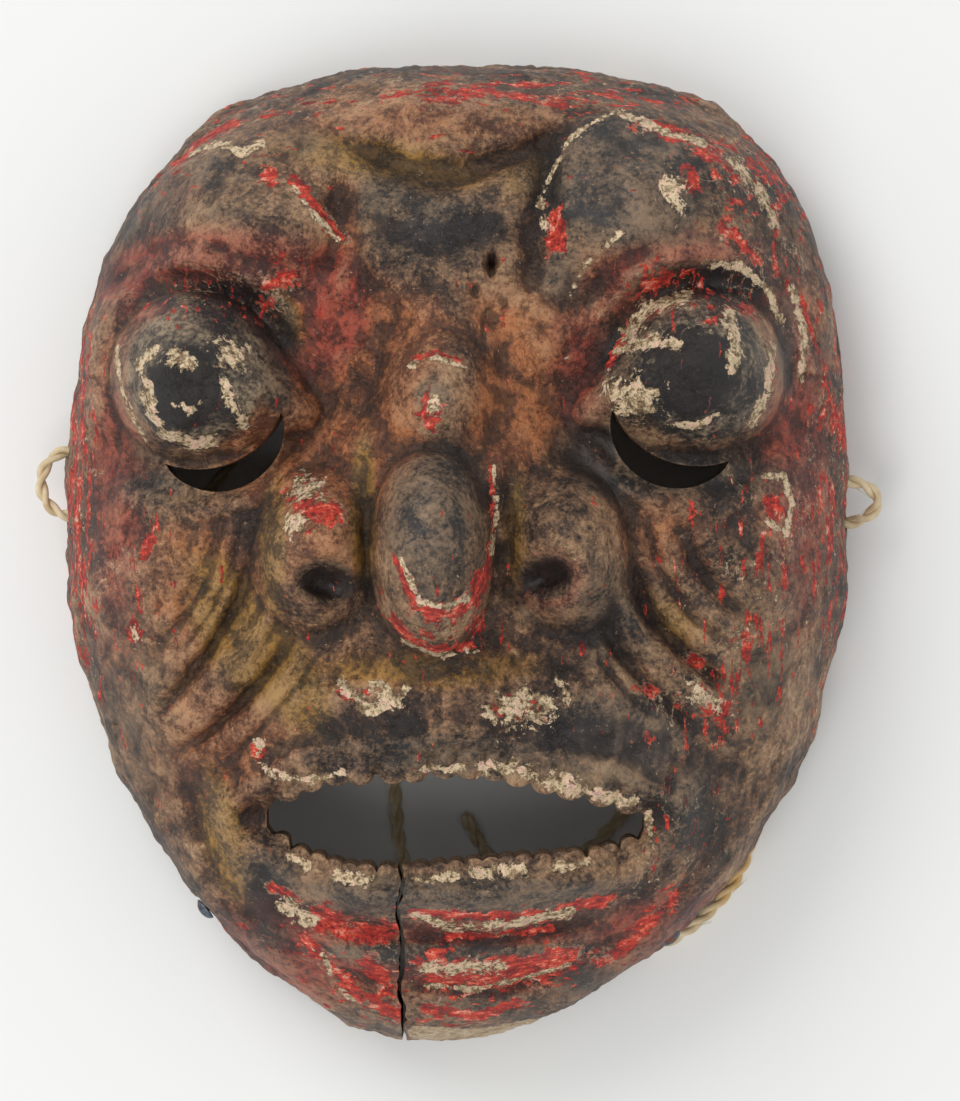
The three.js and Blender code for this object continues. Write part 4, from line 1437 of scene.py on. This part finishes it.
def smooth_path(points: Points, spacing: float) -> np.ndarray:
    """An evenly spaced smooth line through some points.

    Args:
        points: The points, in mm.
        spacing: Distance between places on the line, in mm.

    Returns:
        The places, one row each, in mm.
    """
    p = np.array(points, float)
    p = np.vstack([2 * p[0] - p[1], p, 2 * p[-1] - p[-2]])
    dense = []
    for a, b, c, d in zip(p, p[1:], p[2:], p[3:]):
        steps = [max(np.linalg.norm(v - u), 1e-6) ** 0.5 for u, v in ((a, b), (b, c), (c, d))]
        t0, t1, t2, t3 = np.cumsum([0, *steps])
        t = np.linspace(t1, t2, 24, endpoint=False)[:, None]
        ab = a + (b - a) * (t - t0) / (t1 - t0)
        bc = b + (c - b) * (t - t1) / (t2 - t1)
        cd = c + (d - c) * (t - t2) / (t3 - t2)
        abc = ab + (bc - ab) * (t - t0) / (t2 - t0)
        bcd = bc + (cd - bc) * (t - t1) / (t3 - t1)
        dense.append(abc + (bcd - abc) * (t - t1) / (t2 - t1))
    line = np.vstack([*dense, p[-2:-1]])
    along = np.concatenate([[0], np.cumsum(np.linalg.norm(np.diff(line, axis=0), axis=1))])
    even = np.linspace(0, along[-1], max(int(along[-1] / spacing), 4) + 1)
    return np.stack([np.interp(even, along, column) for column in line.T], 1)


def turned_frames(line: np.ndarray) -> tuple[np.ndarray, np.ndarray]:
    """Two directions across a line at each place, which turn as little as they can."""
    tangent = np.gradient(line, axis=0)
    tangent /= np.linalg.norm(tangent, axis=1)[:, None]
    across = np.zeros_like(line)
    last = np.cross(tangent[0], (0.2, 0.1, 1.0))
    for k, t in enumerate(tangent):
        last = last - t * last.dot(t)
        last /= np.linalg.norm(last)
        across[k] = last
    return across, np.cross(tangent, across)


@dataclass
class TwineMaker:
    """Lays up two-ply twine along a line."""

    diameter: float = 2.6
    plies: int = 2
    lay_length: float = 8.4
    sides: int = 12
    hair_sides: int = 4
    spacing: float = 0.5

    def strand(self, name: str, line: np.ndarray, radius: np.ndarray, sides: int) -> bpy.types.Object:
        """One closed round strand along a line, from a sheet of cells that is rolled up.

        Args:
            name: Name of the strand.
            line: Its centreline, in mm.
            radius: Its radius at each place, in mm.
            sides: How many flats it has round it.

        Returns:
            The strand, with a UV map that runs 1 for each 10 mm along it and 1 round it.
        """
        deselect_all()
        bpy.ops.mesh.primitive_grid_add(x_subdivisions=len(line) - 1, y_subdivisions=sides, size=2)
        strand = bpy.context.object
        strand.name = name
        flat = read_points(strand)
        k = np.rint((flat[:, 0] + 1) / 2 * (len(line) - 1)).astype(int)
        turn = np.rint((flat[:, 1] + 1) / 2 * sides) % sides * 2 * np.pi / sides
        across, up = turned_frames(line)
        reach = radius[k][:, None] * (np.cos(turn)[:, None] * across[k] + np.sin(turn)[:, None] * up[k])
        write_points(strand, (line[k] + reach) * MM)
        uv = np.zeros(len(strand.data.loops) * 2, np.float32)
        strand.data.uv_layers.active.data.foreach_get("uv", uv)
        uv[::2] *= np.linalg.norm(np.diff(line, axis=0), axis=1).sum() / 10
        strand.data.uv_layers.active.data.foreach_set("uv", uv)
        make_active(strand)
        bpy.ops.object.mode_set(mode="EDIT")
        bpy.ops.mesh.select_all(action="SELECT")
        bpy.ops.mesh.remove_doubles(threshold=1e-6)
        bpy.ops.mesh.fill_holes(sides=0)
        bpy.ops.mesh.select_all(action="SELECT")
        bpy.ops.mesh.normals_make_consistent(inside=False)
        bpy.ops.object.mode_set(mode="OBJECT")
        return strand

    def twisted(self, spine: np.ndarray, ply: int, seed: int) -> tuple[np.ndarray, np.ndarray]:
        """The centreline and radius of one ply, wound round the spine."""
        along = np.arange(len(spine)) * np.linalg.norm(spine[1] - spine[0])
        across, up = turned_frames(spine)
        drift = 0.5 * Grain(40, seed, 6).at(along, along * 0, along * 0)
        angle = 2 * np.pi * (along / self.lay_length + ply / self.plies) + drift
        radius = self.diameter * (0.262 + 0.012 * Grain(6, seed + ply, 8).at(along, along * 0, along * 0))
        offset = self.diameter * 0.245
        winding = np.cos(angle)[:, None] * across + np.sin(angle)[:, None] * up
        return spine + offset * winding, radius

    def hair(self, spine: np.ndarray, rng: np.random.Generator, reach: float) -> bpy.types.Object:
        """A stray fibre that springs out of the twine."""
        k = int(rng.integers(2, len(spine) - 2))
        tangent = spine[k + 1] - spine[k - 1]
        tangent /= np.linalg.norm(tangent)
        out = np.cross(tangent, rng.normal(size=3))
        out /= np.linalg.norm(out)
        side = np.cross(tangent, out)
        length = rng.uniform(1.6, 4.2)
        root = spine[k] + out * self.diameter * 0.4
        t = np.linspace(0, 1, 6)[:, None]
        lean = rng.uniform(-1, 1)
        rise = reach * rng.uniform(0.35, 1.0)
        line = root + tangent * length * t + out * rise * t**1.4 + side * lean * t**2
        line[:, 2] = np.maximum(line[:, 2], 0.08)
        return self.strand("hair", line, np.linspace(0.075, 0.03, 6), self.hair_sides)

    def build(self, name: str, points: Points, seed: int, hairs: int, reach: float = 1.3) -> tuple:
        """A length of twine with its stray fibres.

        Args:
            name: Name of the piece.
            points: Points on its centreline, in mm.
            seed: Seed of its unevenness.
            hairs: How many fibres stand out of it.
            reach: How far they stand out, in mm.

        Returns:
            The piece and its centreline, in mm.
        """
        spine = smooth_path(points, self.spacing)
        parts = []
        for ply in range(self.plies):
            parts.append(self.strand(name, *self.twisted(spine, ply, seed), self.sides))
        rng = np.random.default_rng(seed)
        parts += [self.hair(spine, rng, reach) for _ in range(hairs)]
        twine = join_pieces(parts)
        bpy.ops.object.shade_smooth()
        twine.name = name
        log.info("%s: %.0f mm", name, (len(spine) - 1) * np.linalg.norm(spine[1] - spine[0]))
        return twine, spine


@dataclass
class TwineFinish:
    """Straw-coloured hemp fibre with brown shade between the fibres."""

    shade: Colour = srgb(112, 88, 56)
    straw: Colour = srgb(190, 166, 124)
    pale: Colour = srgb(232, 217, 184)
    gold: Colour = srgb(206, 162, 88)

    def material(self) -> bpy.types.Material:
        """Builds the material, which reads the UV map along and round each ply."""
        shader = Shader("hemp_fibre")
        uv = shader.node("ShaderNodeTexCoord").outputs["UV"]
        split = shader.node("ShaderNodeSeparateXYZ", links={"Vector": uv})
        along, around = Number(shader, split.outputs["X"]), Number(shader, split.outputs["Y"])
        wobble = shader.noise(1.2, 3, 0.6, 31)
        fibre = (2 * math.pi * (around * 9 + along * 12) + 5 * wobble).maths("SINE") * 0.5 + 0.5
        strand = (2 * math.pi * (around * 4 + along * 5) + 7 * wobble).maths("SINE") * 0.5 + 0.5
        tone = 0.3 * fibre + 0.25 * strand + 0.9 * (shader.noise(3.5, 4, 0.6, 32) - 0.5) + 0.22
        colour = shader.ramp(tone, [(0.05, self.shade), (0.42, self.straw), (0.85, self.pale)])
        gold = shader.painted("golden") * (0.5 + 0.7 * wobble)
        colour = shader.blend(gold.step(0.2, 0.9) * 0.75, colour, self.gold)
        shader.feed("Base Color", colour)
        shader.feed("Roughness", 0.8 - 0.12 * fibre)
        shader.raise_by(0.09 * fibre + 0.1 * strand)
        return shader.material


@dataclass
class HeadCord:
    """The twine that holds the mask on: two bights, two knots, the loose cord and its cut tail."""

    block: Block
    left: Tie = Tie(-1, (20.6, 14), (7.6, 14), 6)
    right: Tie = Tie(1, (14.5, 17), (6.2, 11), 6.4)
    table_z: float = 1.45
    maker: TwineMaker = field(default_factory=TwineMaker)

    def head_route(self) -> Points:
        """The loose cord inside the hollow, under the jaw and back in under the cheek."""
        z = self.table_z
        route = [
            (-59.5, 7.7, 13.2), (-53, 9.6, 9.2), (-47.5, 15.5, 4.4), (-42.5, 25, 1.9), (-34, 40, z),
            (-19, 53, z), (0, 57, z), (17, 50, z), (25, 35, z), (20, 19, z), (5, 8, z), (-7, -6, z),
            (-12, -24, z), (-12.8, -42, z), (-11.6, -58, z), (-8, -69, z), (1, -76, z), (14, -78.5, z),
            (28, -79.5, z), (41, -78.6, z), (51, -71.8, z), (57.6, -62.5, z), (59.6, -52, z),
            (57.6, -40, z), (55.4, -27, z), (55.6, -14, 2.4), (57.4, -3.5, 5.6), (59.8, 3, 9),
        ]
        return [*self.left.lead_in(self.block), *route, *self.right.lead_in(self.block)[::-1]]

    def tail_route(self) -> Points:
        """The cut tail that hangs from the right knot and curls up under the mouth."""
        z = self.table_z
        x, y, knot_z = self.right.end(self.block, self.right.knot_hole)
        start = [(x - 7.0, y, knot_z), (x - 8.2, y, knot_z)]
        route = [
            (54, 12.6, 15.4), (51.6, 6.4, 11.6), (49.8, -3, 6.4), (47.8, -13, 2.8), (45.4, -24, z),
            (41.6, -36, z), (35, -50, z), (25.6, -60, z), (16.6, -65.6, z), (10.2, -66, z),
            (6.6, -61.6, z), (3.6, -56.8, 1.9), (1.3, -52.4, 2.9),
        ]
        return start + route

    def knot_route(self, tie: Tie) -> Points:
        """The turns of an overhand knot, pulled tight against the end of a bight."""
        x, y, z = tie.end(self.block, tie.knot_hole)
        middle = x - tie.side * 3.5
        points = []
        for k in range(25):
            t = 2 * math.pi * (k / 25) + 0.4
            across = 1.9 * (math.sin(t) + 2 * math.sin(2 * t)) / 2.6
            up = 2.5 * (math.cos(t) - 2 * math.cos(2 * t)) / 2.7
            points.append((middle + across, y + up, z - 1.9 * math.sin(3 * t)))
        return points

    def build(self) -> None:
        finish = TwineFinish().material()
        runs = [
            ("left_bight", self.left.bight(self.block), 14, "object"),
            ("right_bight", self.right.bight(self.block), 16, "object"),
            ("head_cord", self.head_route(), 90, "object"),
            ("cord_tail", self.tail_route(), 34, "bare"),
        ]
        for seed, (node, route, hairs, far_end) in enumerate(runs, 40):
            piece, spine = self.maker.build(f"{node}_twine", route, seed, hairs)
            self.finish(piece, node, finish)
            line = spine * MM
        tight = TwineMaker(diameter=2.1, lay_length=6.4)
        for node, tie in (("left_knot", self.left), ("right_knot", self.right)):
            piece, _ = tight.build(f"{node}_twine", self.knot_route(tie), 50 + tie.side, 8, 0.5)
            self.finish(piece, node, finish)

    def finish(self, piece: bpy.types.Object, node: str, finish: bpy.types.Material) -> None:
        """Gives a length of twine its finish and puts it in the place of its solid."""
        x, y, _ = (read_points(piece) / MM).T
        golden = smoothstep(x, 44, 58) * smoothstep(-y, 44, 60)
        write_field(piece, "golden", golden)
        set_finish(piece, finish)
        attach(piece, "root")
        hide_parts(node)


# ---- The nails and the lifted flake -----------------------------------------------------------


@dataclass
class JawNail:
    """A worn iron nail driven into the jaw: its place by angle and height, in degrees and mm."""

    node: str
    angle: float
    z: float
    head_radius: float = 2.3
    head_height: float = 1.3
    shank_radius: float = 0.9
    shank_length: float = 5

    def surface(self, block: Block, angle: float, z: float) -> Vector:
        """A place on the plain outer wall."""
        turn = np.array([math.radians(angle)])
        rim = float(block.rim(turn)[0])
        rise = (z - rim) / (block.dome - rim)
        share = (1 - rise**block.section_power) ** (1 / block.section_power)
        radius = float(block.radius(turn)[0]) * share
        y = radius * math.sin(turn[0])
        return Vector((radius * math.cos(turn[0]) + float(block.drift(np.array(y))), y, z))

    def build(self, block: Block, finish: bpy.types.Material) -> bpy.types.Object:
        """Makes the nail and sets it in the place of its solid."""
        along = self.surface(block, self.angle + 1, self.z) - self.surface(block, self.angle - 1, self.z)
        up = self.surface(block, self.angle, self.z + 1) - self.surface(block, self.angle, self.z - 1)
        outward = along.cross(up).normalized()
        deselect_all()
        bpy.ops.mesh.primitive_uv_sphere_add(segments=40, ring_count=24, radius=1)
        nail = bpy.context.object
        nail.name = f"{self.node}_head"
        x, y, z = read_points(nail).T
        crown = np.where(z > 0, z * self.head_height, z * 0.25)
        pits = 0.10 * Grain(0.9, 61).at(x, y, z) + 0.05 * Grain(0.4, 62).at(x, y, z)
        swell = self.head_radius * (1 + 0.05 * Grain(2.2, 63).at(x, y, z))
        write_points(nail, np.stack([x * swell, y * swell * 0.92, crown + pits * (z > 0)], 1) * MM)
        deselect_all()
        depth = self.shank_length * MM
        bpy.ops.mesh.primitive_cylinder_add(vertices=20, radius=self.shank_radius * MM, depth=depth)
        shank = bpy.context.object
        shank.location = (0, 0, -depth / 2)
        place_at_origin(shank)
        join_pieces([nail, shank])
        turn = outward.to_track_quat("Z", "Y")
        seat = self.surface(block, self.angle, self.z) + outward * 0.35
        spots = [turn @ Vector(place) + seat * MM for place in read_points(nail)]
        write_points(nail, np.array(spots))
        bpy.ops.object.shade_smooth_by_angle(angle=SMALL_EDGE)
        set_finish(nail, finish)
        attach(nail, "root")
        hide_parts(self.node)
        log.info("%s: made", nail.name)
        return nail


@dataclass
class IronFinish:
    """Grey-blue iron under a thin brown bloom."""

    iron: Colour = srgb(104, 112, 122)
    shade: Colour = srgb(48, 50, 54)
    rust: Colour = srgb(124, 72, 44)

    def material(self) -> bpy.types.Material:
        """Builds the material."""
        shader = Shader("weathered_iron")
        spots = shader.noise(1.1, 5, 0.65, 71)
        bloom = shader.noise(2.4, 4, 0.6, 72)
        colour = shader.ramp(spots, [(0.3, self.shade), (0.6, self.iron)])
        rusty = (bloom + 0.3 * (spots - 0.5)).step(0.52, 0.66)
        shader.feed("Base Color", shader.blend(rusty * 0.8, colour, self.rust))
        shader.feed("Metallic", 0.75 - 0.6 * rusty)
        shader.feed("Roughness", 0.48 + 0.3 * rusty)
        shader.raise_by(0.1 * spots)
        return shader.material


@dataclass
class LiftedFlake:
    """A curl of lacquer that has lifted off the right cheek's edge, in mm."""

    x: float = 65.5
    y: float = -42.6
    z: float = 22
    length: float = 3.4
    width: float = 3.0
    thickness: float = 0.3

    def build(self, finish: bpy.types.Material) -> bpy.types.Object:
        """Makes the flake, held at its lower end."""
        deselect_all()
        bpy.ops.mesh.primitive_grid_add(x_subdivisions=10, y_subdivisions=14, size=1)
        flake = bpy.context.object
        flake.name = "lifted_flake"
        u, v, _ = read_points(flake).T
        ragged = 0.25 * Grain(0.6, 81).at(u, v, u * 0)
        share = v + 0.5
        x = self.x + 0.2 + 1.5 * share**1.6 + 0.3 * ragged
        y = self.y + self.length * (v + 0.12 * ragged)
        z = self.z + self.width * u * (1 - 0.35 * share)
        write_points(flake, np.stack([x, y, z], 1) * MM)
        solidify = flake.modifiers.new("thickness", "SOLIDIFY")
        solidify.thickness = self.thickness * MM
        solidify.offset = 0
        apply_modifiers(flake)
        point_outwards(flake)
        for layer in Layer:
            write_field(flake, layer.value, np.full(len(flake.data.vertices), -1.0))
        bpy.ops.object.shade_smooth_by_angle(angle=SMALL_EDGE)
        set_finish(flake, finish)
        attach(flake, "root")
        log.info("lifted_flake: made")
        return flake


# ---- The studio ------------------------------------------------------------------------------


@dataclass(frozen=True)
class Studio:
    """The pale paper, the soft light and the camera that looks straight down."""

    camera_height: float = 1.2
    camera_x: float = 0.0045
    camera_y: float = 0.0007
    view_width: float = 0.1938
    room_light: float = 0.66

    def build(self) -> None:
        """Sets up everything that isn't the mask."""
        self.add_camera()
        self.add_paper()
        self.add_lights()
        bpy.context.scene.view_settings.view_transform = "Standard"

    def add_camera(self) -> None:
        """A long lens straight above the mask, with the crown at the top of the frame."""
        deselect_all()
        bpy.ops.object.camera_add(location=(self.camera_x, self.camera_y, self.camera_height))
        camera = bpy.context.object
        camera.name = "overhead_camera"
        camera.data.sensor_fit = "HORIZONTAL"
        camera.data.sensor_width = 36
        camera.data.lens = 36 * self.camera_height / self.view_width
        camera.data.clip_end = 20
        bpy.context.scene.camera = camera

    def add_paper(self) -> None:
        """A wide sheet of pale paper, lit a little more on the left."""
        deselect_all()
        bpy.ops.mesh.primitive_plane_add(size=6, location=(0, 0, 0))
        paper = bpy.context.object
        paper.name = "paper"
        shade = bpy.data.materials.new("pale_paper")
        shade.use_nodes = True
        bsdf = shade.node_tree.nodes["Principled BSDF"]
        bsdf.inputs["Base Color"].default_value = (0.89, 0.90, 0.885, 1)
        bsdf.inputs["Roughness"].default_value = 0.9
        paper.data.materials.append(shade)

    def add_lights(self) -> None:
        """A large soft lamp from the upper left over an even room light."""
        world = bpy.data.worlds.new("room")
        bpy.context.scene.world = world
        world.use_nodes = True
        world.node_tree.nodes["Background"].inputs["Color"].default_value = (1, 1, 1, 1)
        world.node_tree.nodes["Background"].inputs["Strength"].default_value = self.room_light
        self.add_lamp("window_lamp", (-0.75, 0.9, 1.3), 1.0, 9.5)
        self.add_lamp("fill_lamp", (-0.35, -0.55, 1.5), 0.8, 5.5)

    def add_lamp(self, name: str, place: tuple[float, float, float], size: float, power: float) -> None:
        """One round soft lamp, turned to the mask.

        Args:
            name: Its name.
            place: Where it stands, in metres.
            size: How wide it is, in metres.
            power: Its power, in watts.
        """
        deselect_all()
        bpy.ops.object.light_add(type="AREA", location=place)
        lamp = bpy.context.object
        lamp.name = name
        lamp.data.shape = "DISK"
        lamp.data.size = size
        lamp.data.energy = power
        aim = Vector((0, 0, 0.03)) - lamp.location
        lamp.rotation_euler = aim.to_track_quat("-Z", "Y").to_euler()


# ---- Assembly --------------------------------------------------------------------------------


def mask_block() -> Block:
    """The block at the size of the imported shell."""
    low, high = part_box("mask_shell")
    return Block(width=(high.x - low.x) / MM, height=(high.y - low.y) / MM)


def main() -> None:
    """Builds the mask, its cord and the studio, in order."""
    logging.basicConfig(level=logging.INFO, format="%(name)s: %(message)s")
    Studio().build()
    block = mask_block()
    carving = MaskShell(block)
    shell = carving.build()
    Painter(carving.face).apply(shell)
    lacquer = LacquerFinish().material()
    set_finish(shell, lacquer)
    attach(shell, "root")
    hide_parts("mask_shell")
    log.info("carved_mask: %d faces", len(shell.data.polygons))
    LiftedFlake().build(lacquer)
    HeadCord(block).build()
    iron = IronFinish().material()
    JawNail("left_jaw_nail", -125, 16).build(block, iron)
    JawNail("right_jaw_nail", -60.5, 23).build(block, iron)


if __name__ == "__main__":
    main()
